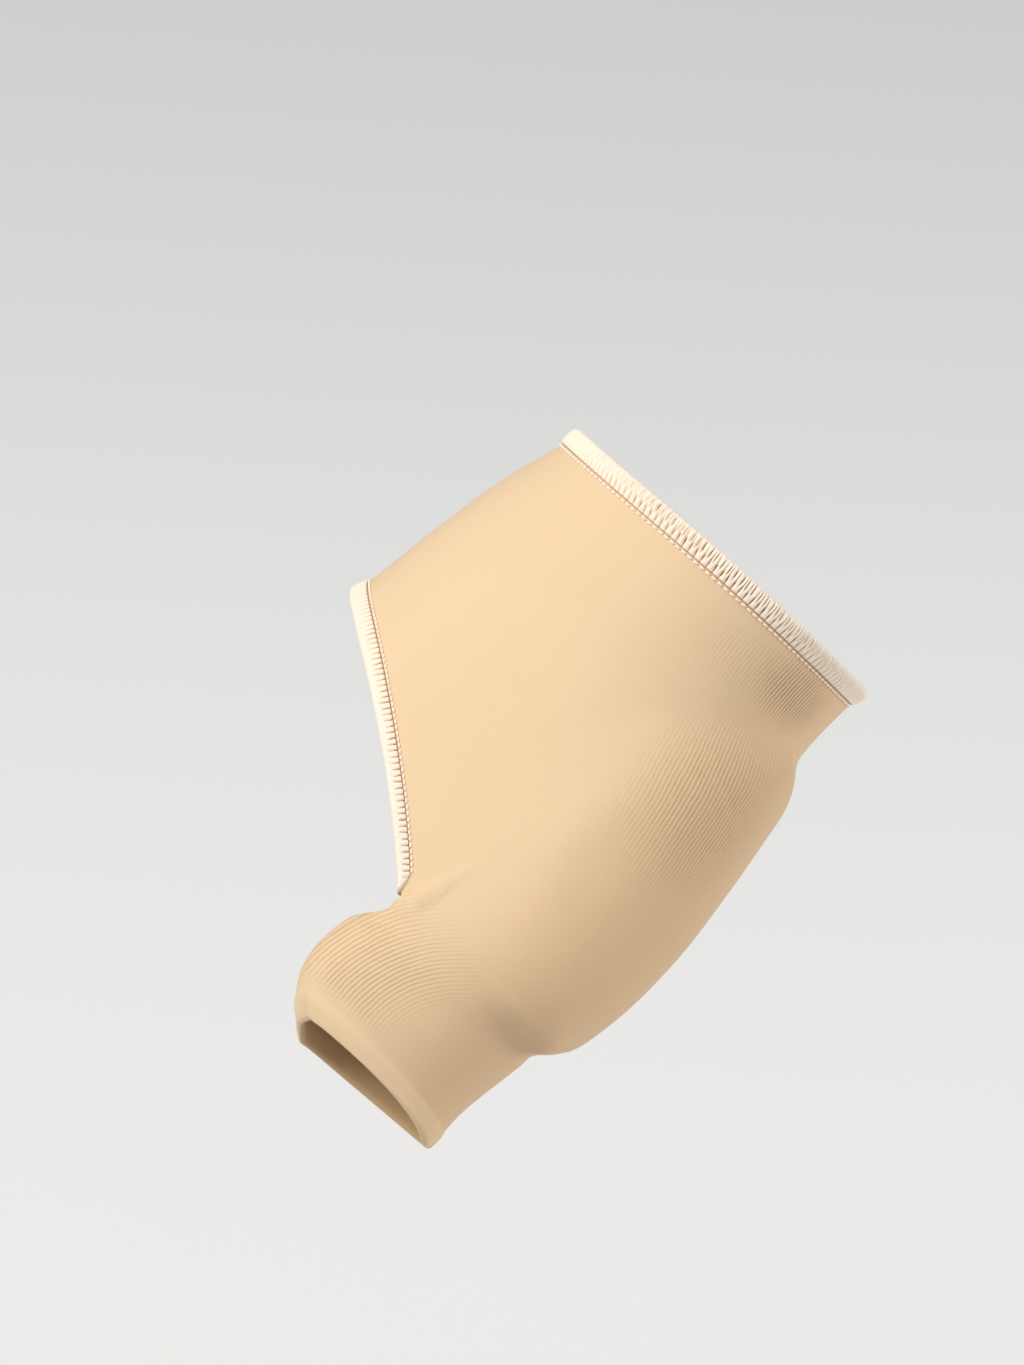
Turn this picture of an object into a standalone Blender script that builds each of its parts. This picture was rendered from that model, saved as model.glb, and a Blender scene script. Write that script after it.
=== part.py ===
"""Bunion corrector for a right foot: a stretch-fabric sleeve round the forefoot and the big toe,
with overlocked edges, a gel pad over the big-toe joint and a gel separator beside the big toe.

Metres. +X is the inner side of the foot (big toe), -Y points at the toes, +Z is the top of the foot.
The origin is the centre of the foot hollow at the ball of the foot."""

import math
from typing import NamedTuple

import bpy
import numpy as np
from mathutils import Vector
from mathutils.bvhtree import BVHTree

# Size of the foot that fills the sleeve
BALL_WIDTH = 0.0840
INSTEP_HEIGHT = 0.0540
BALL_TO_CUFF = 0.0615
BALL_TO_WEB = 0.0180
TOE_TUBE_LENGTH = 0.0275
TOE_WIDTH = 0.0215
TOE_HEIGHT = 0.0215

# Every section plane leans back by this angle, as the rim of the cuff does. The hem leans with it under the
# toe and stands more upright from this share of the instep's height on.
SECTION_LEAN = math.radians(22.2)
HEM_LEAN = math.radians(2.0)
HEM_UPRIGHT_FROM = -0.13

# Rims of the fabric
WEB_FROM_AXIS = 0.0102
CUFF_SKEW = -0.04
CUFF_BOW = 0.0018
HEM_SKEW = 0.03
TOE_RIM_RISE = 0.0355
TOE_RIM_BOW = 0.45

# Fabric
FABRIC = 0.0012
HEM_FABRIC = 0.0016
HEM_WIDTH = 0.0040
SEAT_GAP = 0.0003

# Overlocked bindings
BINDING_LEG = 0.0034
BINDING_WALL = 0.0009
BINDING_NOSE = 0.0008
BINDING_END_GAP = 0.0030

# Gel pad over the joint
PAD_LENGTH = 0.0725
PAD_GIRTH = 0.0800
PAD_THICKNESS = 0.0033
PAD_EDGE = 0.0004
PAD_END_SLOPE = 0.18
PAD_SIDE_SLOPE = 0.70
PAD_TRIM = 0.52
PAD_BEHIND_BALL = 0.0105
PAD_TOWARDS_TOP = 0.0020

# Both gel pieces keep this far inside the fabric, so that their flat facets stay clear of its own
GEL_GAP = 0.0008

# Gel separator beside the big toe
SEPARATOR_EDGE = 0.0010
SEPARATOR_FROM_WEB = 0.0025
SEPARATOR_TOP = math.radians(96)
SEPARATOR_SOLE = math.radians(238)

# Mesh density
MEDIAL_COLUMNS = 32
LATERAL_COLUMNS = 22
WEB_COLUMNS = 8
FOREFOOT_ROWS = 20
TOE_ROWS = 12
PAD_RINGS = 7
PAD_SPOKES = 40
SEPARATOR_ROWS = 10
SEPARATOR_COLUMNS = 14


class Section(NamedTuple):
    """One section of the foot: where it lies, then the four points that its outline touches."""

    along: float
    medial_x: float
    medial_z: float
    top_x: float
    top_z: float
    lateral_x: float
    lateral_z: float
    sole_x: float
    sole_z: float


# Along: share of BALL_TO_CUFF. x: shares of BALL_WIDTH. z: shares of INSTEP_HEIGHT.
FOREFOOT = (
    #       along  medial x, z   top x, z     lateral x, z   sole x, z
    Section(-0.65, 0.380, -0.06, 0.20, 0.24, -0.500, -0.12, 0.05, -0.31),
    Section(-0.30, 0.424, -0.04, 0.18, 0.31, -0.525, -0.11, 0.05, -0.32),
    Section(-0.13, 0.438, -0.02, 0.16, 0.35, -0.524, -0.09, 0.03, -0.32),
    Section(0.08, 0.432, 0.00, 0.13, 0.41, -0.508, -0.06, 0.02, -0.315),
    Section(0.32, 0.406, 0.04, 0.10, 0.48, -0.480, -0.02, 0.01, -0.305),
    Section(0.55, 0.374, 0.08, 0.07, 0.56, -0.454, 0.04, 0.00, -0.29),
    Section(0.78, 0.350, 0.14, 0.05, 0.665, -0.418, 0.10, 0.00, -0.27),
    Section(1.00, 0.350, 0.20, 0.04, 0.760, -0.366, 0.16, 0.00, -0.24),
    Section(1.25, 0.350, 0.26, 0.03, 0.880, -0.338, 0.22, 0.00, -0.21),
)

# Along: share of TOE_TUBE_LENGTH from the web to the hem. x: shares of BALL_WIDTH. z: shares of INSTEP_HEIGHT.
BIG_TOE = (
    Section(-0.20, 0.426, -0.04, 0.20, 0.300, 0.090, 0.00, 0.24, -0.315),
    Section(0.00, 0.420, -0.05, 0.18, 0.300, 0.070, 0.00, 0.24, -0.315),
    Section(0.18, 0.410, -0.07, 0.160, 0.298, 0.044, 0.00, 0.24, -0.315),
    Section(0.40, 0.400, -0.09, 0.138, 0.282, 0.030, 0.00, 0.24, -0.312),
    Section(0.60, 0.394, -0.10, 0.126, 0.252, 0.028, -0.02, 0.24, -0.308),
    Section(0.80, 0.392, -0.11, 0.136, 0.190, 0.042, -0.06, 0.24, -0.302),
    Section(0.92, 0.395, -0.12, 0.164, 0.130, 0.064, -0.09, 0.24, -0.298),
    Section(1.00, 0.398, -0.12, 0.192, 0.098, 0.086, -0.12, 0.24, -0.296),
    Section(1.20, 0.400, -0.12, 0.230, 0.070, 0.104, -0.17, 0.24, -0.290),
)


class Fold(NamedTuple):
    """A straight fold of the fabric on the foot's inner side, from a start to an end."""

    start_along: float
    start_around: float
    end_along: float
    end_around: float
    half_width: float
    start_height: float
    end_height: float


# Along: share of BALL_TO_WEB behind the ball. Around (from the inner side towards the top) and half width:
# shares of TOE_WIDTH. Heights: shares of FABRIC, with valleys below nothing.
FOLDS = (
    # The pull from the web towards the instep, with the crease under it
    Fold(-0.95, 1.69, -0.25, 1.62, 0.080, 0.50, 0.00),
    Fold(-1.04, 1.58, -0.70, 1.50, 0.060, -0.22, 0.00),
    # The ridge where the top of the foot turns down over the pad
    Fold(1.55, 1.12, 0.85, 1.26, 0.200, 0.00, 0.45),
    Fold(0.85, 1.26, 0.40, 1.31, 0.200, 0.45, 0.55),
    Fold(0.40, 1.31, -0.41, 1.03, 0.200, 0.55, 0.55),
    Fold(-0.41, 1.03, -1.00, 0.63, 0.200, 0.55, 0.30),
    # The valley in front of the pad
    Fold(-1.06, 0.80, -1.36, 0.38, 0.130, -0.10, -0.60),
    Fold(-1.36, 0.38, -1.30, -0.20, 0.130, -0.60, -0.45),
    # The tuck where the lobe meets the hem
    Fold(-2.56, 1.32, -2.20, 1.58, 0.060, -1.10, 0.00),
)

# How square the top and the sole of every outline are: 2 is an ellipse
TOP_ROUNDNESS = 2.1
SOLE_ROUNDNESS = 2.4
PAD_ROUNDNESS = 2.1

# Where the web's line ends round the toe, and the shares of the toe tube's length over which it swings there
# and over which the tube takes its own shape
HEM_WEB_ANGLE = math.radians(168)
TOE_SWING = 0.60
TOE_BLEND = 0.34

# How finely places are worked out: rounds in which a column closes in on its rim, halvings of an angle, points
# at which the length round the foot is measured, and steps along the foot and round the toe
MEETING_STEPS = 16
HALVINGS = 50
GIRTH_POINTS = 105
FRAME_STEP = 0.01
TURN_STEP = math.radians(2)

BEIGE = (0.83, 0.66, 0.44, 1.0)
CREAM = (0.91, 0.84, 0.72, 1.0)
GEL = (0.86, 0.80, 0.70, 1.0)


def smooth(share):
    """0 to 1 with no slope at either end."""
    share = np.clip(share, 0.0, 1.0)
    return share * share * (3.0 - 2.0 * share)


def unit(vectors):
    return vectors / np.linalg.norm(vectors, axis=-1, keepdims=True)


class Form:
    """A tube whose outline follows a table of sections on a smooth curve."""

    def __init__(self, table):
        rows = np.array(table)
        self.places = rows[:, 0]
        self.values = rows[:, 1:] * ((BALL_WIDTH, INSTEP_HEIGHT) * 4)
        self.slopes = np.gradient(self.values, self.places, axis=0)

    def section(self, along):
        i = int(np.clip(np.searchsorted(self.places, along) - 1, 0, len(self.places) - 2))
        step = self.places[i + 1] - self.places[i]
        t = (along - self.places[i]) / step
        start = self.values[i] * (2 * t**3 - 3 * t**2 + 1) + self.slopes[i] * step * (t**3 - 2 * t**2 + t)
        end = self.values[i + 1] * (3 * t**2 - 2 * t**3) + self.slopes[i + 1] * step * (t**3 - t**2)
        return Section(along, *(start + end))

    def outline(self, along, angles):
        """(x, z) at each angle: 0 is the inner side, a quarter turn the top, a half turn the outer side."""
        at = self.section(along)
        c, s = np.cos(angles), np.sin(angles)
        power = np.where(s >= 0, 2.0 / TOP_ROUNDNESS, 2.0 / SOLE_ROUNDNESS)
        middle_x = np.where(s >= 0, at.top_x, at.sole_x)
        reach_z = np.where(s >= 0, at.top_z, at.sole_z)
        side_x = np.where(c >= 0, at.medial_x, at.lateral_x)
        side_z = np.where(c >= 0, at.medial_z, at.lateral_z)
        x = middle_x + (side_x - middle_x) * np.abs(c) ** power
        z = side_z + (reach_z - side_z) * np.abs(s) ** power
        return np.stack([x, z], axis=-1)


FOREFOOT_FORM = Form(FOREFOOT)
BIG_TOE_FORM = Form(BIG_TOE)


def forefoot_outline(station, angles):
    return FOREFOOT_FORM.outline(station / BALL_TO_CUFF, angles)


def past_web(station):
    """Share of the toe tube's length that lies behind this station."""
    return (-BALL_TO_WEB - station) / TOE_TUBE_LENGTH


def toe_outline(station, angles):
    return BIG_TOE_FORM.outline(past_web(station), angles)


def web_angle(outline, side):
    """The angle at which an outline at the web's station passes the web, above (1) or under (-1) the foot."""
    low, high = 0.0, math.pi
    for _ in range(HALVINGS):
        middle = (low + high) / 2
        if outline(-BALL_TO_WEB, side * middle)[0] > WEB_FROM_AXIS:
            low = middle
        else:
            high = middle
    return side * (low + high) / 2


WEB_TOP, WEB_SOLE = web_angle(forefoot_outline, 1), web_angle(forefoot_outline, -1)
TOE_TOP, TOE_SOLE = web_angle(toe_outline, 1), web_angle(toe_outline, -1)


def toe_angles(station):
    """The angles at which the web's top and sole go on round the toe: they swing to its outer side."""
    swing = smooth(past_web(station) / TOE_SWING)
    top = TOE_TOP + (HEM_WEB_ANGLE - TOE_TOP) * swing
    sole = TOE_SOLE + (-HEM_WEB_ANGLE - TOE_SOLE) * swing
    return top, sole


def in_space(outline, station):
    """Points of a section in space: its plane leans back."""
    outline = np.asarray(outline)
    x, z = outline[..., 0], outline[..., 1]
    return np.stack([x, station - math.tan(SECTION_LEAN) * z, z], axis=-1)


def inner_side(station, shares):
    """The foot's inner side at a station, from the web's top (0) round the big toe to the web's sole (1)."""
    top, sole = toe_angles(station)
    angles = top + (sole - top) * np.asarray(shares, float)
    across = np.clip((angles - TOE_TOP) / (TOE_SOLE - TOE_TOP), 0.0, 1.0)
    foot = forefoot_outline(station, WEB_TOP + (WEB_SOLE - WEB_TOP) * across)
    return foot + (toe_outline(station, angles) - foot) * smooth(past_web(station) / TOE_BLEND)


def web_side(station, shares):
    """The big toe's outer side at a station, from the web's sole (0) up to the web's top (1)."""
    shares = np.asarray(shares, float)
    low, high = forefoot_outline(station, np.array([WEB_SOLE, WEB_TOP]))
    foot = low + (high - low) * shares[..., None]
    top, sole = toe_angles(station)
    toe = toe_outline(station, sole + (top - 2 * math.pi - sole) * shares)
    return foot + (toe - foot) * smooth(past_web(station) / TOE_BLEND)


def cuff_station(x, z):
    across = x / (BALL_WIDTH / 2)
    return BALL_TO_CUFF + CUFF_SKEW * x + CUFF_BOW * (1 - across**2)


def hem_station(x, z):
    middle = WEB_FROM_AXIS + TOE_WIDTH / 2
    upright = math.tan(SECTION_LEAN) - math.tan(HEM_LEAN)
    height = max(z, HEM_UPRIGHT_FROM * INSTEP_HEIGHT)
    return -BALL_TO_WEB - TOE_TUBE_LENGTH + HEM_SKEW * (x - middle) + upright * height


def toe_rim_station(x, z):
    """The rim of the small toes' opening swings back from the web to the outer side."""
    across = (WEB_FROM_AXIS - x) / (WEB_FROM_AXIS + BALL_WIDTH / 2)
    return -BALL_TO_WEB + TOE_RIM_RISE * (across + TOE_RIM_BOW * across * (1 - across))


def meet(rim_station, place_at):
    """The station at which a column, whose x and z are known at every station, meets a rim."""
    station = 0.0
    for _ in range(MEETING_STEPS):
        station = rim_station(*place_at(station))
    return station


GIRTH_SHARES = np.linspace(0, 1, GIRTH_POINTS)


def girths(station):
    """Length round the foot at GIRTH_SHARES, counted from the inner side and positive towards the top."""
    points = in_space(inner_side(station, GIRTH_SHARES), station)
    lengths = np.concatenate([[0.0], np.cumsum(np.linalg.norm(np.diff(points, axis=0), axis=1))])
    return lengths[int(np.argmax(points[:, 0]))] - lengths


def share_at(station, girth):
    return float(np.interp(-girth, -girths(station), GIRTH_SHARES))


def pad_reach(along, around):
    """0 at the pad's middle and 1 at its outline, and the share of that way over which it thins out."""
    ends, sides = abs(along) ** PAD_ROUNDNESS, abs(around) ** PAD_ROUNDNESS
    out = ends + sides
    sideways = math.sqrt(sides / out) if out > 0 else 0.0
    return out ** (1 / PAD_ROUNDNESS), PAD_END_SLOPE + (PAD_SIDE_SLOPE - PAD_END_SLOPE) * sideways


def pad_lift(station, girth):
    """How far the pad lifts the fabric: level inside, down to nothing at the pad's outline."""
    along = (station - PAD_BEHIND_BALL) / (PAD_LENGTH / 2)
    around = (girth - PAD_TOWARDS_TOP) / (PAD_GIRTH / 2)
    out, slope = pad_reach(along, around)
    return PAD_THICKNESS * smooth((1.0 - out) / slope)


def fold_lift(station, girth):
    """How far the folds lift the fabric, or sink it."""
    place = np.array([station / BALL_TO_WEB, girth / TOE_WIDTH])
    highest, deepest = 0.0, 0.0
    for fold in FOLDS:
        start = np.array([fold.start_along, fold.start_around])
        way = np.array([fold.end_along, fold.end_around]) - start
        share = float(np.clip((place - start) @ way / (way @ way), 0.0, 1.0))
        off = np.linalg.norm(place - start - way * share) / fold.half_width
        lift = (fold.start_height + (fold.end_height - fold.start_height) * share) * math.exp(-off * off)
        highest, deepest = max(highest, lift), min(deepest, lift)
    return FABRIC * (highest + deepest)


class Sheet:
    """The sleeve's inner face as one sheet of points and faces, lifted by the pad under it and by its folds."""

    def __init__(self):
        self.points, self.lifts, self.to_hem = [], [], []
        self.fore = self.forefoot_columns()
        self.toe = self.toe_columns()
        self.faces = self.faces_of(self.fore) + self.faces_of(self.toe)
        foot = np.array(self.points)
        self.points = foot + self.normals_of(foot) * np.array(self.lifts)[:, None]
        self.normals = self.normals_of(self.points)
        self.tree = BVHTree.FromPolygons([Vector(p) for p in self.points], self.faces)

    def add(self, outline, station, lift=0.0, to_hem=math.inf):
        self.points.append(in_space(outline, station))
        self.lifts.append(lift)
        self.to_hem.append(to_hem)
        return len(self.points) - 1

    def add_inner(self, station, share, to_hem=math.inf):
        girth = float(np.interp(share, GIRTH_SHARES, girths(station)))
        lift = pad_lift(station, girth) + fold_lift(station, girth)
        return self.add(inner_side(station, share), station, lift, to_hem)

    def forefoot_columns(self):
        """Columns from the cuff forwards: the inner ones stop at the web, the outer ones at the toe rim."""
        columns = []
        for share in np.linspace(0, 1, MEDIAL_COLUMNS + 1):
            rear = meet(cuff_station, lambda s: inner_side(s, share))
            stations = np.linspace(rear, -BALL_TO_WEB, FOREFOOT_ROWS + 1)
            columns.append([self.add_inner(s, share) for s in stations])
        for angle in np.linspace(WEB_SOLE + 2 * math.pi, WEB_TOP, LATERAL_COLUMNS + 1)[1:-1]:
            rear = meet(cuff_station, lambda s: forefoot_outline(s, angle))
            front = meet(toe_rim_station, lambda s: forefoot_outline(s, angle))
            stations = np.linspace(rear, front, FOREFOOT_ROWS + 1)
            columns.append([self.add(forefoot_outline(s, angle), s) for s in stations])
        return columns

    def toe_columns(self):
        """Columns from the web to the hem: on from the inner ones, then up the big toe's outer side."""
        columns = []
        for k, share in enumerate(np.linspace(0, 1, MEDIAL_COLUMNS + 1)):
            hem = meet(hem_station, lambda s: inner_side(s, share))
            stations = np.linspace(-BALL_TO_WEB, hem, TOE_ROWS + 1)[1:]
            columns.append([self.fore[k][-1], *[self.add_inner(s, share, s - hem) for s in stations]])
        for share in np.linspace(0, 1, WEB_COLUMNS + 1)[1:-1]:
            hem = meet(hem_station, lambda s: web_side(s, share))
            stations = np.linspace(-BALL_TO_WEB, hem, TOE_ROWS + 1)
            columns.append([self.add(web_side(s, share), s, 0.0, s - hem) for s in stations])
        return columns

    @staticmethod
    def faces_of(columns):
        """Faces that point outwards, between each column and the next round the tube."""
        found = []
        for k, column in enumerate(columns):
            beside = columns[(k + 1) % len(columns)]
            for row in range(len(column) - 1):
                found.append((column[row], column[row + 1], beside[row + 1], beside[row]))
        return found

    def normals_of(self, points):
        normals = np.zeros_like(points)
        for face in self.faces:
            a, b, c, d = points[list(face)]
            for corner in face:
                normals[corner] += np.cross(c - a, d - b)
        return unit(normals)

    def reach(self, start, direction):
        """Distance from a point inside the sleeve to its inner face."""
        hit = self.tree.ray_cast(Vector(start), Vector(direction))
        return hit[3]


def material(name, colour, roughness):
    made = bpy.data.materials.new(name)
    made.use_nodes = True
    shader = made.node_tree.nodes["Principled BSDF"]
    shader.inputs["Base Color"].default_value = colour
    shader.inputs["Roughness"].default_value = roughness
    shader.inputs["Metallic"].default_value = 0.0
    return made


def new_object(name, points, faces, finish):
    mesh = bpy.data.meshes.new(name)
    mesh.from_pydata([tuple(p) for p in points], [], faces)
    mesh.materials.append(finish)
    made = bpy.data.objects.new(name, mesh)
    bpy.context.scene.collection.objects.link(made)
    mesh.shade_smooth()
    return made


def clear_scene():
    for old in list(bpy.data.objects):
        bpy.data.objects.remove(old)


def build_sleeve(sheet, finish):
    """The fabric, thickened outwards, and thicker where it is folded under along the hem."""
    made = new_object("sleeve", sheet.points, sheet.faces, finish)
    hem = made.vertex_groups.new(name="hem")
    for index, to_hem in enumerate(sheet.to_hem):
        hem.add([index], 1.0 if to_hem < HEM_WIDTH else FABRIC / HEM_FABRIC, "REPLACE")
    wall = made.modifiers.new("wall", "SOLIDIFY")
    wall.thickness = HEM_FABRIC
    wall.offset = 1.0
    wall.use_even_offset = False
    wall.vertex_group = "hem"


# The binding's outline round the fabric's edge. Side: 1 on the outer face, -1 on the inner face, 0 at the edge.
# Along: share of the leg, or below nothing of the nose past the edge. Off: share of the wall above its seat.
BINDING_OUTLINE = (
    # side, along, off
    (1, 1.00, 0.55),
    (1, 0.50, 1.00),
    (1, 0.00, 0.90),
    (1, -0.80, 0.45),
    (0, -1.00, 0.00),
    (-1, -0.80, 0.45),
    (-1, 0.00, 0.90),
    (-1, 0.50, 0.85),
    (-1, 1.00, 0.55),
)


def binding_section(sheet, rim, normal, outwards):
    """Points of the binding's U round the fabric's edge at one place on the rim."""

    def on_fabric(depth):
        """The inner face under a place this far in from the rim."""
        if depth <= 0:
            return rim - outwards * depth
        over = rim - outwards * depth + normal * BINDING_LEG
        return over - normal * sheet.tree.ray_cast(Vector(over), Vector(-normal))[3]

    def point(side, depth, off):
        if side > 0:
            height = FABRIC + off
        elif side < 0:
            height = -off
        else:
            height = FABRIC / 2
        return on_fabric(depth) + normal * height

    points = []
    for side, along, off in BINDING_OUTLINE:
        depth = along * BINDING_LEG if along > 0 else along * (SEAT_GAP + BINDING_NOSE)
        points.append(point(side, depth, SEAT_GAP + BINDING_WALL * off))
    for side, depth in ((-1, BINDING_LEG), (-1, -SEAT_GAP), (1, -SEAT_GAP), (1, BINDING_LEG)):
        points.append(point(side, depth, SEAT_GAP))
    return points


def build_binding(name, sheet, rim, behind, closed, finish):
    """A binding along a rim: rim and behind are point numbers on the fabric's edge and one row in from it."""
    edge = sheet.points[rim]
    if closed:
        tangents = unit(np.roll(edge, -1, axis=0) - np.roll(edge, 1, axis=0))
    else:
        tangents = unit(np.gradient(edge, axis=0))
    outwards = edge - sheet.points[behind]
    outwards = unit(outwards - tangents * np.sum(outwards * tangents, axis=1)[:, None])
    normals = np.cross(outwards, tangents)
    mirrored = np.sum(normals * sheet.normals[rim]) < 0
    if mirrored:
        normals = -normals
    sections = [binding_section(sheet, *at) for at in zip(edge, normals, outwards)]
    if mirrored:
        sections = [section[::-1] for section in sections]
    add_tube(name, sections, closed, finish)


def add_tube(name, sections, closed, finish):
    """A closed body through sections that each have the same number of points."""
    size = len(sections[0])
    faces = []
    for i in range(len(sections) if closed else len(sections) - 1):
        here, beside = i * size, (i + 1) % len(sections) * size
        for j in range(size):
            after = (j + 1) % size
            faces.append((here + j, here + after, beside + after, beside + j))
    if not closed:
        last = (len(sections) - 1) * size
        faces.append(tuple(range(size))[::-1])
        faces.append(tuple(last + j for j in range(size)))
    return new_object(name, np.concatenate(sections), faces, finish)


def add_slab(name, outer, inner, finish):
    """A closed body between two grids of points of the same size."""
    rows, columns = outer.shape[:2]
    count = rows * columns
    faces = []
    for i in range(rows - 1):
        for j in range(columns - 1):
            a, d = i * columns + j, (i + 1) * columns + j
            b, c = a + 1, d + 1
            faces.append((a, b, c, d))
            faces.append((count + d, count + c, count + b, count + a))
    top = list(range(columns))
    right = [i * columns + columns - 1 for i in range(rows)]
    bottom = [(rows - 1) * columns + j for j in range(columns)][::-1]
    left = [i * columns for i in range(rows)][::-1]
    for side in (top, right, bottom, left):
        for a, b in zip(side, side[1:]):
            faces.append((b, a, count + a, count + b))
    points = np.concatenate([outer.reshape(-1, 3), inner.reshape(-1, 3)])
    return new_object(name, points, faces, finish)


def inner_side_frame(station, share):
    """A point of the foot's inner side and the way out of the foot there."""
    share = min(max(share, FRAME_STEP), 1 - FRAME_STEP)
    round_foot = in_space(inner_side(station, [share - FRAME_STEP, share + FRAME_STEP]), station)
    front, rear = station - FRAME_STEP * BALL_TO_CUFF, station + FRAME_STEP * BALL_TO_CUFF
    ahead = in_space(inner_side(front, share), front)
    behind = in_space(inner_side(rear, share), rear)
    point = in_space(inner_side(station, share), station)
    return point, unit(np.cross(ahead - behind, round_foot[1] - round_foot[0]))


def build_pad(sheet, finish):
    """The gel pad over the joint: from the foot out to just under the fabric."""
    inner, outer = [], []
    for ring in range(PAD_RINGS + 1):
        for spoke in range(PAD_SPOKES):
            turn = 2 * math.pi * spoke / PAD_SPOKES
            c, s = math.cos(turn), math.sin(turn)
            out, slope = pad_reach(c, s)
            size = (1.0 - slope * PAD_TRIM) / out * ring / PAD_RINGS
            station = PAD_BEHIND_BALL + PAD_LENGTH / 2 * size * c
            share = share_at(station, PAD_TOWARDS_TOP + PAD_GIRTH / 2 * size * s)
            point, normal = inner_side_frame(station, share)
            room = sheet.reach(point - normal * PAD_THICKNESS, normal) - PAD_THICKNESS
            inner.append(point)
            outer.append(point + normal * max(room - GEL_GAP, PAD_EDGE))
            if ring == 0:
                break
    faces = []
    count = len(inner)
    for spoke in range(PAD_SPOKES):
        after = (spoke + 1) % PAD_SPOKES
        faces.append((0, 1 + after, 1 + spoke))
        faces.append((count, count + 1 + spoke, count + 1 + after))
        for ring in range(PAD_RINGS - 1):
            a, b = 1 + ring * PAD_SPOKES + spoke, 1 + ring * PAD_SPOKES + after
            c, d = b + PAD_SPOKES, a + PAD_SPOKES
            faces.append((a, b, c, d))
            faces.append((count + d, count + c, count + b, count + a))
        rim = 1 + (PAD_RINGS - 1) * PAD_SPOKES
        faces.append((rim + after, count + rim + after, count + rim + spoke, rim + spoke))
    new_object("bunion_pad", np.array(inner + outer), faces, finish)


def separator_section(sheet, station):
    """Angles round the toe that the separator covers here, and the toe's centre."""
    at = BIG_TOE_FORM.section(past_web(station))
    centre = np.array([at.medial_x - TOE_WIDTH / 2, at.medial_z])
    start = in_space(centre, station)

    def toe_and_room(angle):
        ray = in_space(centre + np.array([math.cos(angle), math.sin(angle)]), station) - start
        size = np.linalg.norm(ray)
        radius = 1 / math.hypot(math.cos(angle) * 2 / TOE_WIDTH, math.sin(angle) * 2 / TOE_HEIGHT)
        return ray / size, radius * size, sheet.reach(start, ray / size) - GEL_GAP

    def limit(towards):
        angle = math.pi
        step = TURN_STEP if towards > angle else -TURN_STEP
        while abs(towards - angle) > abs(step):
            _, toe, room = toe_and_room(angle + step)
            if room - toe < SEPARATOR_EDGE:
                break
            angle += step
        return angle

    inner, outer = [], []
    for angle in np.linspace(limit(SEPARATOR_TOP), limit(SEPARATOR_SOLE), SEPARATOR_COLUMNS + 1):
        ray, toe, room = toe_and_room(angle)
        inner.append(start + ray * toe)
        outer.append(start + ray * room)
    return outer, inner


def build_separator(sheet, finish):
    """The gel separator: it fills the lobe between the big toe and the fabric beside it."""
    first = -BALL_TO_WEB - SEPARATOR_FROM_WEB
    last = -BALL_TO_WEB - TOE_TUBE_LENGTH + HEM_WIDTH
    sections = [separator_section(sheet, s) for s in np.linspace(first, last, SEPARATOR_ROWS + 1)]
    outer = np.array([section[0] for section in sections])
    inner = np.array([section[1] for section in sections])
    add_slab("toe_separator", outer, inner, finish)


def trimmed(sheet, rim, behind):
    """The toe rim's points from the web's sole to its top, with both ends moved in from the web."""
    for end, beside in ((0, 1), (-1, -2)):
        for row in (rim, behind):
            start, towards = sheet.points[row[end]], sheet.points[row[beside]]
            share = BINDING_END_GAP / np.linalg.norm(towards - start)
            sheet.points = np.vstack([sheet.points, start + (towards - start) * share])
            mixed = sheet.normals[row[end]] * (1 - share) + sheet.normals[row[beside]] * share
            sheet.normals = np.vstack([sheet.normals, mixed])
            row[end] = len(sheet.points) - 1
    return rim, behind


def main():
    clear_scene()
    beige = material("stretch fabric", BEIGE, 0.75)
    cream = material("overlock thread", CREAM, 0.8)
    gel = material("gel", GEL, 0.4)
    sheet = Sheet()
    build_sleeve(sheet, beige)
    build_pad(sheet, gel)
    build_separator(sheet, gel)
    cuff = [column[0] for column in sheet.fore]
    build_binding("cuff_binding", sheet, cuff, [column[1] for column in sheet.fore], True, cream)
    outer_columns = [*sheet.fore[MEDIAL_COLUMNS:], sheet.fore[0]]
    rim, behind = trimmed(sheet, [c[-1] for c in outer_columns], [c[-2] for c in outer_columns])
    build_binding("toe_binding", sheet, rim, behind, False, cream)


main()
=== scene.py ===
"""Bunion corrector: the finished look of the knitted sleeve, its overlocked edges and its gel pieces.

The sleeve is a sheet of stretch fabric round a foot form. The form is worked out here from the same
named sizes and sections as the solids, so that the fine surface lies where the solids lie."""

import math
from typing import NamedTuple

import bpy
import numpy as np
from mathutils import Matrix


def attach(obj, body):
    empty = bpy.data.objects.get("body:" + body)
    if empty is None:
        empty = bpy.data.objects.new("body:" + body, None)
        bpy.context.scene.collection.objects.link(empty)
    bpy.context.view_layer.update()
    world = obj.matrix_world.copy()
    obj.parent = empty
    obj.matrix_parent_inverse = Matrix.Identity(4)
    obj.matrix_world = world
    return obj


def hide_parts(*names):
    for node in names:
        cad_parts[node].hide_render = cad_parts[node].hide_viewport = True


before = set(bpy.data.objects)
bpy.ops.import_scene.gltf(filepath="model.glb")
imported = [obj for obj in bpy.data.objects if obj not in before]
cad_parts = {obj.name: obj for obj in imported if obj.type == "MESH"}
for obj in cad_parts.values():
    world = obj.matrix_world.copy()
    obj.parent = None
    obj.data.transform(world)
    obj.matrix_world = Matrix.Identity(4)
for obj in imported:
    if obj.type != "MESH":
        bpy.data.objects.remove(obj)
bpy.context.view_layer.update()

# Size of the foot that fills the sleeve
BALL_WIDTH = 0.0840
INSTEP_HEIGHT = 0.0540
BALL_TO_CUFF = 0.0615
BALL_TO_WEB = 0.0180
TOE_TUBE_LENGTH = 0.0275
TOE_WIDTH = 0.0215
SECTION_LEAN = math.radians(22.2)
HEM_LEAN = math.radians(2.0)
HEM_UPRIGHT_FROM = -0.13

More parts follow.
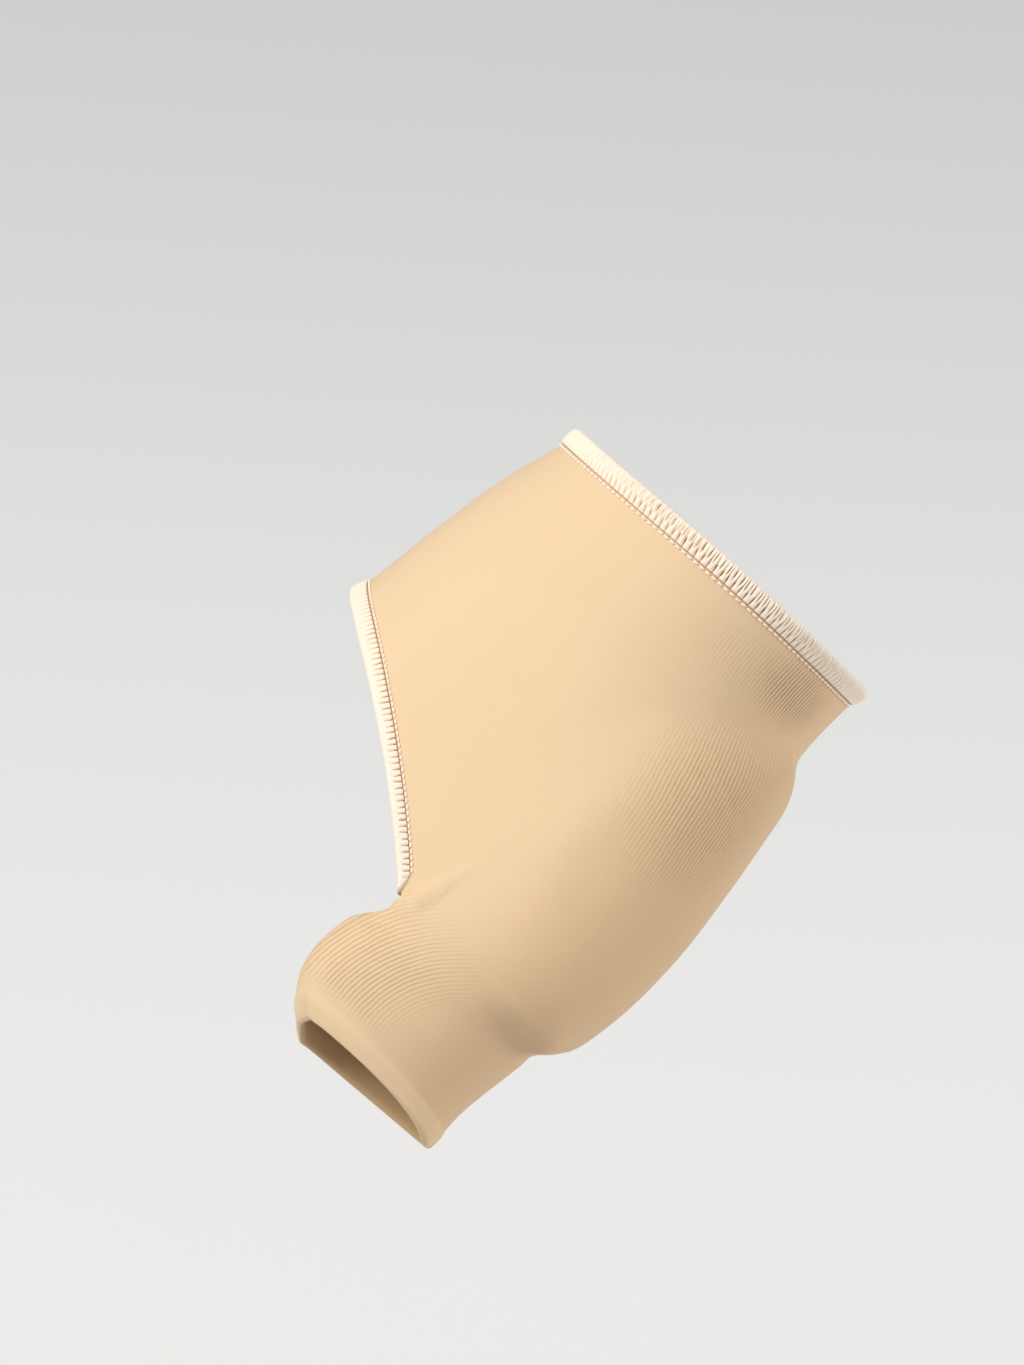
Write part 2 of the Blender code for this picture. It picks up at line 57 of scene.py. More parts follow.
# Rims of the fabric
WEB_FROM_AXIS = 0.0102
CUFF_SKEW = -0.04
CUFF_BOW = 0.0004
CUFF_SWAY = 0.0016
HEM_SKEW = 0.03
TOE_RIM_RISE = 0.0355
TOE_RIM_BOW = 0.45

# Fabric
FABRIC = 0.0012
HEM_FABRIC = 0.0015
HEM_WIDTH = 0.0040

# Gel pad under the fabric
PAD_LENGTH = 0.0725
PAD_GIRTH = 0.0800
PAD_THICKNESS = 0.0033
PAD_END_SLOPE = 0.18
PAD_SIDE_SLOPE = 0.70
PAD_BEHIND_BALL = 0.0105
PAD_TOWARDS_TOP = 0.0020

# Shape of the outlines
TOP_ROUNDNESS = 2.1
SOLE_ROUNDNESS = 2.4
PAD_ROUNDNESS = 2.1
HEM_WEB_ANGLE = math.radians(168)
TOE_SWING = 0.60
TOE_BLEND = 0.34

# Knit ribs: how many between the web's top and its sole, and their pitch on the lobe beside the big toe, where
# they run round a middle point. That point is given along the two directions that the lobe's face spreads in.
RIBS = 118
LOBE_PITCH = 0.00068
LOBE_RIBS_FROM = 0.0100
LOBE_FROM = -0.0100
LOBE_ACROSS = np.array([0.7071, 0.7071, 0.0])
LOBE_UP = np.array([-0.6124, 0.6124, 0.5])
LOBE_MIDDLE = (-0.0020, -0.0403)
LOBE_STRETCH = 0.90
RIB_HEIGHT = 0.00007

# Gel pieces: how far they stay inside the fabric, how thin the pad gets at its edge and how far it is trimmed,
# and where the separator lies round the toe
GEL_GAP = 0.0004
PAD_EDGE = 0.0006
PAD_TRIM = 0.52
PAD_RINGS = 14
PAD_SPOKES = 64
TOE_HEIGHT = 0.0215
SEPARATOR_FROM_WEB = 0.0025
SEPARATOR_TOP = math.radians(96)
SEPARATOR_SOLE = math.radians(238)
SEPARATOR_EDGE = 0.0010
SEPARATOR_ROWS = 12
SEPARATOR_COLUMNS = 20

# Overlocked edges: leg on the fabric, nose past its edge, rolls on both faces, needle thread beside the leg
OVERLOCK_NOSE = 0.0010
OVERLOCK_INNER_LEG = 0.0024
OVERLOCK_INNER_ROLL = 0.0005
NEEDLE_THREAD = 0.00024
BINDING_END_GAP = 0.0016
RIM_ROWS = 7
POINTS_PER_LOOP = 12
LEG_ROWS = 13
NOSE_ROWS = 9
INNER_ROWS = 4

# Colours of the knit, and how deep its grain and its soft unevenness are
FABRIC_BEIGE = (0.84, 0.635, 0.410)
FABRIC_WARM = (0.79, 0.560, 0.335)
# Painted shade: the knit is darker and warmer on the foot's inner side, which faces away from the key lamp, blended in
# between these x positions
FABRIC_MEDIAL_SHADE = (0.76, 0.530, 0.318)
MEDIAL_SHADE_FROM = 0.018
MEDIAL_SHADE_TO = 0.036
# Dark brown of the knit's uneven grain, and painted shade in the grooves between its ribs
FABRIC_GRAIN_AND_GROOVE_SHADE = (0.40, 0.225, 0.100)
FABRIC_HEM = (0.90, 0.680, 0.430)
# Painted shade on the sleeve's inner face, darker than its outer face
FABRIC_INSIDE_SHADE = (0.55, 0.370, 0.200)
GEL_MILKY = (0.84, 0.74, 0.58)
GEL_AMBER = (0.74, 0.60, 0.42)
GRAIN_HEIGHT = 0.000020
LUMP_HEIGHT = 0.000030

# Floor and light
FLOOR_DEPTH = -0.35
FLOOR_WHITE = (0.80, 0.80, 0.80)
# Painted shade: the floor turns grey towards its far side, as if the light fell off there
FLOOR_SHADE_GREY = (0.55, 0.56, 0.57)
FLOOR_WHITE_TO = 0.10
FLOOR_SHADE_FROM = 0.75
WORLD_STRENGTH = 0.50

# Grid of the sleeve's surface
FINE_COLUMNS = 190
FINE_SHARE = 0.56
SOLE_COLUMNS = 36
LATERAL_COLUMNS = 72
WEB_COLUMNS = 26
FOREFOOT_ROWS = 56
TOE_ROWS = 34


class Section(NamedTuple):
    """One section of the foot: where it lies, then the four points that its outline touches."""

    along: float
    medial_x: float
    medial_z: float
    top_x: float
    top_z: float
    lateral_x: float
    lateral_z: float
    sole_x: float
    sole_z: float


# Along: share of BALL_TO_CUFF. x: shares of BALL_WIDTH. z: shares of INSTEP_HEIGHT.
FOREFOOT = (
    Section(-0.65, 0.380, -0.06, 0.20, 0.24, -0.500, -0.12, 0.05, -0.31),
    Section(-0.30, 0.424, -0.04, 0.18, 0.31, -0.525, -0.11, 0.05, -0.32),
    Section(-0.13, 0.438, -0.02, 0.16, 0.35, -0.524, -0.09, 0.03, -0.32),
    Section(0.08, 0.432, 0.00, 0.13, 0.41, -0.508, -0.06, 0.02, -0.315),
    Section(0.32, 0.406, 0.04, 0.10, 0.48, -0.480, -0.02, 0.01, -0.305),
    Section(0.55, 0.374, 0.08, 0.07, 0.56, -0.454, 0.04, 0.00, -0.29),
    Section(0.78, 0.350, 0.14, 0.05, 0.665, -0.418, 0.10, 0.00, -0.27),
    Section(1.00, 0.350, 0.20, 0.04, 0.760, -0.366, 0.16, 0.00, -0.24),
    Section(1.25, 0.350, 0.26, 0.03, 0.880, -0.338, 0.22, 0.00, -0.21),
)

# Along: share of TOE_TUBE_LENGTH from the web to the hem. x: shares of BALL_WIDTH. z: shares of INSTEP_HEIGHT.
BIG_TOE = (
    Section(-0.20, 0.426, -0.04, 0.20, 0.300, 0.090, 0.00, 0.24, -0.315),
    Section(0.00, 0.420, -0.05, 0.18, 0.300, 0.070, 0.00, 0.24, -0.315),
    Section(0.18, 0.410, -0.07, 0.160, 0.298, 0.044, 0.00, 0.24, -0.315),
    Section(0.40, 0.400, -0.09, 0.138, 0.282, 0.030, 0.00, 0.24, -0.312),
    Section(0.60, 0.394, -0.10, 0.126, 0.252, 0.028, -0.02, 0.24, -0.308),
    Section(0.80, 0.392, -0.11, 0.136, 0.190, 0.042, -0.06, 0.24, -0.302),
    Section(0.92, 0.395, -0.12, 0.164, 0.130, 0.064, -0.09, 0.24, -0.298),
    Section(1.00, 0.398, -0.12, 0.192, 0.098, 0.086, -0.12, 0.24, -0.296),
    Section(1.20, 0.400, -0.12, 0.230, 0.070, 0.104, -0.17, 0.24, -0.290),
)


class Fold(NamedTuple):
    """A straight fold of the fabric on the foot's inner side, from a start to an end."""

    start_along: float
    start_around: float
    end_along: float
    end_around: float
    half_width: float
    start_height: float
    end_height: float


# Along: share of BALL_TO_WEB behind the ball. Around (from the inner side towards the top) and half width: shares
# of TOE_WIDTH. Heights: shares of FABRIC, with valleys below nothing.
FOLDS = (
    # The pull from the web towards the instep
    Fold(-0.92, 1.67, -0.28, 1.62, 0.045, 0.70, 0.00),
    # The ridge where the top of the foot turns down over the pad
    Fold(1.55, 1.12, 0.85, 1.26, 0.200, 0.00, 0.45),
    Fold(0.85, 1.26, 0.40, 1.31, 0.200, 0.45, 0.55),
    Fold(0.40, 1.31, -0.41, 1.03, 0.200, 0.55, 0.55),
    Fold(-0.41, 1.03, -1.00, 0.63, 0.200, 0.55, 0.30),
    # The valley in front of the pad
    Fold(-1.06, 0.80, -1.36, 0.38, 0.170, -0.05, -0.22),
    Fold(-1.36, 0.38, -1.30, -0.20, 0.170, -0.22, -0.30),
    # The tuck where the lobe meets the hem
    Fold(-2.56, 1.32, -2.20, 1.58, 0.060, -1.10, 0.00),
)


def smooth(share):
    """0 to 1 with no slope at either end."""
    share = np.clip(share, 0.0, 1.0)
    return share * share * (3.0 - 2.0 * share)


def unit(vectors):
    return vectors / np.linalg.norm(vectors, axis=-1, keepdims=True)


class Form:
    """A tube whose outline follows a table of sections on a smooth curve."""

    def __init__(self, table):
        rows = np.array(table)
        self.places = rows[:, 0]
        self.values = rows[:, 1:] * ((BALL_WIDTH, INSTEP_HEIGHT) * 4)
        self.slopes = np.gradient(self.values, self.places, axis=0)

    def section(self, along):
        i = np.clip(np.searchsorted(self.places, along) - 1, 0, len(self.places) - 2)
        step = self.places[i + 1] - self.places[i]
        t = ((along - self.places[i]) / step)[..., None]
        step = step[..., None]
        start = self.values[i] * (2 * t**3 - 3 * t**2 + 1) + self.slopes[i] * step * (t**3 - 2 * t**2 + t)
        end = self.values[i + 1] * (3 * t**2 - 2 * t**3) + self.slopes[i + 1] * step * (t**3 - t**2)
        return Section(along, *np.moveaxis(start + end, -1, 0))

    def outline(self, along, angles):
        """(x, z) at each angle: 0 is the inner side, a quarter turn the top, a half turn the outer side."""
        along, angles = np.broadcast_arrays(np.asarray(along, float), np.asarray(angles, float))
        at = self.section(along)
        c, s = np.cos(angles), np.sin(angles)
        power = np.where(s >= 0, 2.0 / TOP_ROUNDNESS, 2.0 / SOLE_ROUNDNESS)
        middle_x = np.where(s >= 0, at.top_x, at.sole_x)
        reach_z = np.where(s >= 0, at.top_z, at.sole_z)
        side_x = np.where(c >= 0, at.medial_x, at.lateral_x)
        side_z = np.where(c >= 0, at.medial_z, at.lateral_z)
        x = middle_x + (side_x - middle_x) * np.abs(c) ** power
        z = side_z + (reach_z - side_z) * np.abs(s) ** power
        return np.stack([x, z], axis=-1)


FOREFOOT_FORM = Form(FOREFOOT)
BIG_TOE_FORM = Form(BIG_TOE)


def forefoot_outline(station, angles):
    return FOREFOOT_FORM.outline(np.asarray(station) / BALL_TO_CUFF, angles)


def past_web(station):
    """Share of the toe tube's length that lies behind this station."""
    return (-BALL_TO_WEB - np.asarray(station)) / TOE_TUBE_LENGTH


def toe_outline(station, angles):
    return BIG_TOE_FORM.outline(past_web(station), angles)


def web_angle(outline, side):
    """The angle at which an outline at the web's station passes the web, above (1) or under (-1) the foot."""
    low, high = 0.0, math.pi
    for _ in range(50):
        middle = (low + high) / 2
        if outline(-BALL_TO_WEB, side * middle)[0] > WEB_FROM_AXIS:
            low = middle
        else:
            high = middle
    return side * (low + high) / 2


WEB_TOP, WEB_SOLE = web_angle(forefoot_outline, 1), web_angle(forefoot_outline, -1)
TOE_TOP, TOE_SOLE = web_angle(toe_outline, 1), web_angle(toe_outline, -1)


def toe_angles(station):
    """The angles at which the web's top and sole go on round the toe: they swing to its outer side."""
    swing = smooth(past_web(station) / TOE_SWING)
    top = TOE_TOP + (HEM_WEB_ANGLE - TOE_TOP) * swing
    sole = TOE_SOLE + (-HEM_WEB_ANGLE - TOE_SOLE) * swing
    return top, sole


def in_space(outline, station):
    """Points of a section in space: its plane leans back."""
    x, z = outline[..., 0], outline[..., 1]
    return np.stack([x, station - math.tan(SECTION_LEAN) * z, z], axis=-1)


def inner_side(station, share):
    """The foot's inner side at a station, from the web's top (0) round the big toe to the web's sole (1)."""
    top, sole = toe_angles(station)
    angles = top + (sole - top) * share
    across = np.clip((angles - TOE_TOP) / (TOE_SOLE - TOE_TOP), 0.0, 1.0)
    foot = forefoot_outline(station, WEB_TOP + (WEB_SOLE - WEB_TOP) * across)
    return foot + (toe_outline(station, angles) - foot) * smooth(past_web(station) / TOE_BLEND)[..., None]


def web_side(station, share):
    """The big toe's outer side at a station, from the web's sole (0) up to the web's top (1)."""
    low, high = forefoot_outline(station, WEB_SOLE), forefoot_outline(station, WEB_TOP)
    foot = low + (high - low) * share[..., None]
    top, sole = toe_angles(station)
    toe = toe_outline(station, sole + (top - 2 * math.pi - sole) * share)
    return foot + (toe - foot) * smooth(past_web(station) / TOE_BLEND)[..., None]


def cuff_station(x, z):
    across = x / (BALL_WIDTH / 2)
    return BALL_TO_CUFF + CUFF_SKEW * x + (CUFF_BOW + CUFF_SWAY * across) * (1 - across**2)


def hem_station(x, z):
    middle = WEB_FROM_AXIS + TOE_WIDTH / 2
    upright = math.tan(SECTION_LEAN) - math.tan(HEM_LEAN)
    height = np.maximum(z, HEM_UPRIGHT_FROM * INSTEP_HEIGHT)
    return -BALL_TO_WEB - TOE_TUBE_LENGTH + HEM_SKEW * (x - middle) + upright * height


def toe_rim_station(x, z):
    """The rim of the small toes' opening swings back from the web to the outer side."""
    across = (WEB_FROM_AXIS - x) / (WEB_FROM_AXIS + BALL_WIDTH / 2)
    return -BALL_TO_WEB + TOE_RIM_RISE * (across + TOE_RIM_BOW * across * (1 - across))


def meet(rim_station, outline, across):
    """The stations at which columns meet a rim: outline gives a column's point at a station."""
    stations = np.zeros_like(across)
    for _ in range(16):
        stations = rim_station(*np.moveaxis(outline(stations, across), -1, 0))
    return stations


GIRTH_STATIONS = np.linspace(-0.052, 0.070, 123)
GIRTH_SHARES = np.linspace(0, 1, 105)


def girth_table():
    """Length round the foot at each girth station and share, counted from the inner side, positive towards the top."""
    stations, shares = np.meshgrid(GIRTH_STATIONS, GIRTH_SHARES, indexing="ij")
    points = in_space(inner_side(stations, shares), stations)
    steps = np.linalg.norm(np.diff(points, axis=1), axis=2)
    lengths = np.concatenate([np.zeros((len(GIRTH_STATIONS), 1)), np.cumsum(steps, axis=1)], axis=1)
    inner = np.argmax(points[..., 0], axis=1)
    return lengths[np.arange(len(inner)), inner][:, None] - lengths


GIRTHS = girth_table()


def girth_at(station, share):
    row = (station - GIRTH_STATIONS[0]) / (GIRTH_STATIONS[1] - GIRTH_STATIONS[0])
    column = share * (len(GIRTH_SHARES) - 1)
    i = np.clip(row.astype(int), 0, len(GIRTH_STATIONS) - 2)
    j = np.clip(column.astype(int), 0, len(GIRTH_SHARES) - 2)
    s, t = row - i, column - j
    near = GIRTHS[i, j] * (1 - t) + GIRTHS[i, j + 1] * t
    far = GIRTHS[i + 1, j] * (1 - t) + GIRTHS[i + 1, j + 1] * t
    return near * (1 - s) + far * s


def pad_reach(along, around):
    """0 at the pad's middle and 1 at its outline, and the share of that way over which it thins out."""
    ends, sides = np.abs(along) ** PAD_ROUNDNESS, np.abs(around) ** PAD_ROUNDNESS
    out = ends + sides
    slope = PAD_END_SLOPE + (PAD_SIDE_SLOPE - PAD_END_SLOPE) * np.sqrt(sides / np.maximum(out, 1e-9))
    return out ** (1 / PAD_ROUNDNESS), slope


def pad_lift(station, girth):
    """How far the pad lifts the fabric: level inside, down to nothing at the pad's outline."""
    out, slope = pad_reach((station - PAD_BEHIND_BALL) / (PAD_LENGTH / 2), (girth - PAD_TOWARDS_TOP) / (PAD_GIRTH / 2))
    return PAD_THICKNESS * smooth((1.0 - out) / slope)


def fold_lift(station, girth):
    """How far the folds lift the fabric, or sink it."""
    place = np.stack([station / BALL_TO_WEB, girth / TOE_WIDTH], axis=-1)
    highest, deepest = np.zeros_like(station), np.zeros_like(station)
    for fold in FOLDS:
        start = np.array([fold.start_along, fold.start_around])
        way = np.array([fold.end_along, fold.end_around]) - start
        share = np.clip((place - start) @ way / (way @ way), 0.0, 1.0)
        off = np.linalg.norm(place - start - way * share[..., None], axis=-1) / fold.half_width
        lift = (fold.start_height + (fold.end_height - fold.start_height) * share) * np.exp(-off * off)
        highest, deepest = np.maximum(highest, lift), np.minimum(deepest, lift)
    return FABRIC * (highest + deepest)


class RibPatch(NamedTuple):
    """Where the knit's ribs stand out: a soft oval round a place on the foot."""

    station: float
    girth: float
    half_length: float
    half_girth: float
    strength: float


RIB_PATCHES = (
    # At the cuff, strongest beside its inner end
    RibPatch(0.051, 0.017, 0.0060, 0.0150, 0.50),
    RibPatch(0.0525, 0.012, 0.0055, 0.0095, 1.90),
    # Over the pad
    RibPatch(0.027, 0.013, 0.0145, 0.0115, 1.25),
    RibPatch(0.013, 0.004, 0.0150, 0.0080, 0.30),
    # On the lobe, and fainter on the toe's inner side
    RibPatch(-0.030, 0.033, 0.0110, 0.0170, 1.00),
    RibPatch(-0.033, 0.014, 0.0080, 0.0090, 0.70),
)


def rib_strength(station, girth):
    strength = np.zeros_like(station)
    for patch in RIB_PATCHES:
        along = (station - patch.station) / patch.half_length
        around = (girth - patch.girth) / patch.half_girth
        inside = patch.strength * smooth((1.6 - np.hypot(along, around)) / 1.3)
        strength = np.maximum(strength, inside)
    return strength


def rib_phase(points, share):
    """Which rib a point lies on, counted round the foot, and how far it lies from the middle of the lobe's ribs."""
    across = (points @ LOBE_ACROSS - LOBE_MIDDLE[0]) * LOBE_STRETCH
    up = points @ LOBE_UP - LOBE_MIDDLE[1]
    return share * RIBS, np.hypot(np.minimum(across, 0.0), up)


class Sheet:
    """The sleeve's inner face as a fine grid, with the length and place round the foot of each point."""

    def __init__(self):
        self.parts = []
        self.count = 0
        fine_shares = np.linspace(0, FINE_SHARE, FINE_COLUMNS + 1)
        coarse_shares = np.linspace(FINE_SHARE, 1, SOLE_COLUMNS + 1)[1:]
        self.shares = np.concatenate([fine_shares, coarse_shares])
        angles = np.linspace(WEB_SOLE + 2 * math.pi, WEB_TOP, LATERAL_COLUMNS + 1)[1:-1]
        web_shares = np.linspace(0, 1, WEB_COLUMNS + 1)[1:-1]

        inner_rear = meet(cuff_station, inner_side, self.shares)
        inner_front = np.full_like(inner_rear, -BALL_TO_WEB)
        outer_rear = meet(cuff_station, forefoot_outline, angles)
        outer_front = meet(toe_rim_station, forefoot_outline, angles)
        toe_front = meet(hem_station, inner_side, self.shares)
        web_front = meet(hem_station, web_side, web_shares)
        rows = np.linspace(0, 1, FOREFOOT_ROWS + 1)
        inner = self.add(inner_side, self.shares, self.between(inner_rear, inner_front, rows), None, True)
        outer = self.add(forefoot_outline, angles, self.between(outer_rear, outer_front, rows), None, False)
        self.fore = np.vstack([inner, outer])
        stations = self.toe_stations(toe_front)
        ahead = self.add(inner_side, self.shares, stations[:, 1:], toe_front, True)
        ahead = np.hstack([inner[:, -1:], ahead])
        web = self.add(web_side, web_shares, self.toe_stations(web_front), web_front, False)
        self.toe = np.vstack([ahead, web])
        self.faces = np.vstack([self.faces_of(self.fore), self.faces_of(self.toe)])

        joined = [np.concatenate([part[i] for part in self.parts]) for i in range(6)]
        foot, self.station, self.girth, self.share, self.to_hem, lift = joined
        self.points = foot + normals_of(foot, self.faces) * lift[:, None]
        self.normals = normals_of(self.points, self.faces)

    @staticmethod
    def between(first, last, rows):
        return first[:, None] + (last - first)[:, None] * rows

    @staticmethod
    def toe_stations(hem):
        """Stations of the toe tube's rows: even as far as the hem, then close together over it."""
        hem_rows = HEM_WIDTH * np.array([1.10, 1.0, 0.90, 0.75, 0.55, 0.38, 0.25, 0.15, 0.07, 0.02, 0.0])
        even = np.linspace(0, 1, TOE_ROWS + 1)[:-1]
        start = hem + hem_rows[0]
        rows = -BALL_TO_WEB + (start + BALL_TO_WEB)[:, None] * even
        return np.hstack([rows, hem[:, None] + hem_rows])

    def add(self, outline, across, stations, hem, inner):
        """Adds a block of columns, one for each value of across, and gives its point numbers."""
        spread = np.repeat(across[:, None], stations.shape[1], axis=1)
        points = in_space(outline(stations, spread), stations)
        girth = girth_at(stations, spread) if inner else np.full(stations.shape, -1.0)
        lift = pad_lift(stations, girth) + fold_lift(stations, girth) if inner else np.zeros(stations.shape)
        share = spread if inner else np.full(stations.shape, -1.0)
        to_hem = stations - hem[:, None] if hem is not None else np.full(stations.shape, 1.0)
        block = (points, stations, girth, share, to_hem, lift)
        self.parts.append([part.reshape(-1, *part.shape[2:]) for part in block])
        numbers = self.count + np.arange(stations.size).reshape(stations.shape)
        self.count += stations.size
        return numbers

    @staticmethod
    def faces_of(columns):
        """Faces that point outwards, between each column and the next round the tube."""
        beside = np.roll(columns, -1, axis=0)
        corners = (columns[:, :-1], columns[:, 1:], beside[:, 1:], beside[:, :-1])
        return np.stack([corner.reshape(-1) for corner in corners], axis=1)


def normals_of(points, faces):
    a, b, c, d = (points[faces[:, i]] for i in range(4))
    across = np.cross(c - a, d - b)
    normals = np.zeros_like(points)
    for i in range(4):
        np.add.at(normals, faces[:, i], across)
    return unit(normals)


def new_piece(name, points, faces, finish):
    mesh = bpy.data.meshes.new(name)
    mesh.from_pydata([tuple(p) for p in points], [], [tuple(int(i) for i in face) for face in faces])
    mesh.materials.append(finish)
    mesh.shade_smooth()
    piece = bpy.data.objects.new(name, mesh)
    bpy.context.scene.collection.objects.link(piece)
    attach(piece, "root")
    return piece


def add_uv(mesh, across, along):
    """A UV map from two values at each point, so that a pattern follows the fabric."""
    layer = mesh.uv_layers.new(name="fabric")
    corner_points = np.empty(len(mesh.loops), np.int32)
    mesh.loops.foreach_get("vertex_index", corner_points)
    pairs = np.stack([across[corner_points], along[corner_points]], axis=1)
    layer.data.foreach_set("uv", pairs.astype(np.float32).reshape(-1))


def open_edges(faces):
    """Edges that only one face uses, in that face's direction."""
    edges = np.vstack([faces[:, [0, 1]], faces[:, [1, 2]], faces[:, [2, 3]], faces[:, [3, 0]]])
    order = np.sort(edges, axis=1)
    _, first, uses = np.unique(order, axis=0, return_index=True, return_counts=True)
    return edges[first[uses == 1]]


def make_sleeve(sheet, finish):
    """The knitted wall: an inner face on the foot, and an outer face with its hem and folds."""
    thick = FABRIC + (HEM_FABRIC - FABRIC) * smooth((1.15 - sheet.to_hem / HEM_WIDTH) / 0.45)
    tip = np.clip(1 - sheet.to_hem / (HEM_FABRIC / 2), 0, 1)
    rounding = HEM_FABRIC / 2 * (1 - np.sqrt(1 - np.minimum(tip, 0.98) ** 2))
    outer = sheet.points + sheet.normals * (thick - rounding)[:, None]
    inner = sheet.points + sheet.normals * rounding[:, None]
    rims = open_edges(sheet.faces)
    walls = np.stack([rims[:, 1], rims[:, 0], rims[:, 0] + sheet.count, rims[:, 1] + sheet.count], axis=1)
    faces = np.vstack([sheet.faces, sheet.faces[:, ::-1] + sheet.count, walls])
    sleeve = new_piece("knitted_sleeve", np.vstack([outer, inner]), faces, finish)

    round_foot, from_middle = rib_phase(outer, sheet.share)
    on_lobe = sheet.station < LOBE_FROM
    phase = np.where(on_lobe, from_middle / LOBE_PITCH, round_foot)
    ribs = rib_strength(sheet.station, sheet.girth) * (sheet.share >= 0) * (sheet.share < FINE_SHARE)
    ribs = ribs * smooth((sheet.to_hem / HEM_WIDTH - 1.1) / 0.6)
    facing = sheet.normals @ np.cross(LOBE_ACROSS, LOBE_UP)
    on_show = smooth(from_middle / LOBE_RIBS_FROM - 0.8) * smooth((facing + 0.05) / 0.25)
    ribs = ribs * np.where(on_lobe, on_show, 1.0)
    add_uv(sleeve.data, np.tile(phase, 2), np.tile(sheet.station * 1000, 2))
    add_value(sleeve.data, "ribs", np.concatenate([ribs, np.zeros(sheet.count)]))
    hem = smooth((1.1 - sheet.to_hem / HEM_WIDTH) / 0.25)
    add_value(sleeve.data, "hem", np.tile(hem, 2))
    inner_face = np.concatenate([np.zeros(sheet.count), np.ones(sheet.count)])
    add_value(sleeve.data, "inner_face", inner_face)
    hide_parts("sleeve")
    return sleeve


class Overlock(NamedTuple):
    """How one overlocked edge looks: its size, and how its loops lie."""

    pitch: float
    leg: float
    roll: float
    slant: float
    spread: float
    slit_reach: float
    slit_width: float
    roll_from: float


# Pitch, leg and roll in metres. Slant and spread: how far a loop's thread leans, and parts in two, as shares of the
# pitch. Slit reach and where the smooth roll starts: shares of the leg. Slit width: share of the pitch.
CUFF_OVERLOCK = Overlock(0.00123, 0.0026, 0.00100, 0.22, 0.27, 1.00, 0.20, 1.00)
TOE_OVERLOCK = Overlock(0.00110, 0.0025, 0.00095, -0.12, 0.00, 0.72, 0.20, 0.60)


def along_rows(points, depths):
    """Points at these depths in from the rim, on each column of points that starts at the rim."""
    steps = np.linalg.norm(np.diff(points, axis=1), axis=2)
    lengths = np.hstack([np.zeros((len(points), 1)), np.cumsum(steps, axis=1)])
    found = np.empty((len(points), len(depths), 3))
    for column, length, row in zip(points, lengths, found):
        for axis in range(3):
            row[:, axis] = np.interp(depths, length, column[:, axis])
    return found


def spline(values, places, at, closed):
    """Values at new places along a curve, on a smooth line through the known ones."""
    if closed:
        length = places[-1]
        places = np.concatenate([[places[-2] - length], places, [places[1] + length]])
        values = np.concatenate([values[-2:-1], values, values[1:2]])
    slopes = np.gradient(values, places, axis=0)
    i = np.clip(np.searchsorted(places, at) - 1, 0, len(places) - 2)
    step = places[i + 1] - places[i]
    shape = (-1,) + (1,) * (values.ndim - 1)
    t, step = ((at - places[i]) / step).reshape(shape), step.reshape(shape)
    start = values[i] * (2 * t**3 - 3 * t**2 + 1) + slopes[i] * step * (t**3 - 2 * t**2 + t)
    end = values[i + 1] * (3 * t**2 - 2 * t**3) + slopes[i + 1] * step * (t**3 - t**2)
    return start + end


class Rim:
    """A strip of fabric along a rim, cut anew so that each overlock loop has the same number of points."""

    def __init__(self, points, normals, depths, pitch, closed):
        points, normals = along_rows(points, depths), along_rows(normals, depths)
        if closed:
            points, normals = (np.concatenate([grid, grid[:1]]) for grid in (points, normals))
        places = np.concatenate([[0.0], np.cumsum(np.linalg.norm(np.diff(points[:, 0], axis=0), axis=1))])
        first, last = (0.0, places[-1]) if closed else (BINDING_END_GAP, places[-1] - BINDING_END_GAP)
        self.loops = int(round((last - first) / pitch))
        count = self.loops * POINTS_PER_LOOP
        at = np.linspace(first, last, count + 1)
        self.at = at[:-1] if closed else at
        self.phase = (np.arange(len(self.at)) / POINTS_PER_LOOP)[:, None]
        self.points = spline(points, places, self.at, closed)
        self.normals = unit(spline(normals, places, self.at, closed))
        tangents = unit(np.gradient(self.points[:, 0], axis=0))
        lean = np.einsum("cja,ca->cj", self.points - self.points[:, :1], tangents)
        self.phase = self.phase + lean / (self.at[1] - self.at[0]) / POINTS_PER_LOOP
        self.outwards = unit(self.points[:, 0] - self.points[:, 1])
        self.closed = closed


def strands(kind, phase, inward):
    """Height of the wound thread, 0 to 1: inward is 0 at the needle thread and 1 at the fabric's edge."""
    wander = 0.10 * np.sin(phase * 2.4) + 0.07 * np.sin(phase * 5.3 + 1.0)
    place = (phase + kind.slant * inward + wander * inward) % 1.0
    if kind.spread > 0:
        centre = kind.spread * smooth(inward / 0.8)
        half = 0.50 - 0.25 * smooth(inward / 0.60)
        off = np.minimum(np.abs(np.abs(place - 0.5) - centre), np.abs(1.0 - np.abs(place - 0.5) - centre))
        return np.sqrt(np.maximum(1 - (off / half) ** 2, 0.0))
    slit = kind.slit_width / 2 * np.maximum(1 - inward / (kind.slit_reach * (1 + wander)), 0.0) ** 0.7
    off = np.abs(place - 0.5)
    round_thread = np.sqrt(np.maximum(1 - np.maximum(off - slit, 0) / 0.5, 0.0))
    open_slit = smooth((off - slit) / 0.10 + 0.2) * (slit > 0.004) + (slit <= 0.004)
    return open_slit * (0.75 + 0.25 * (1 - round_thread))


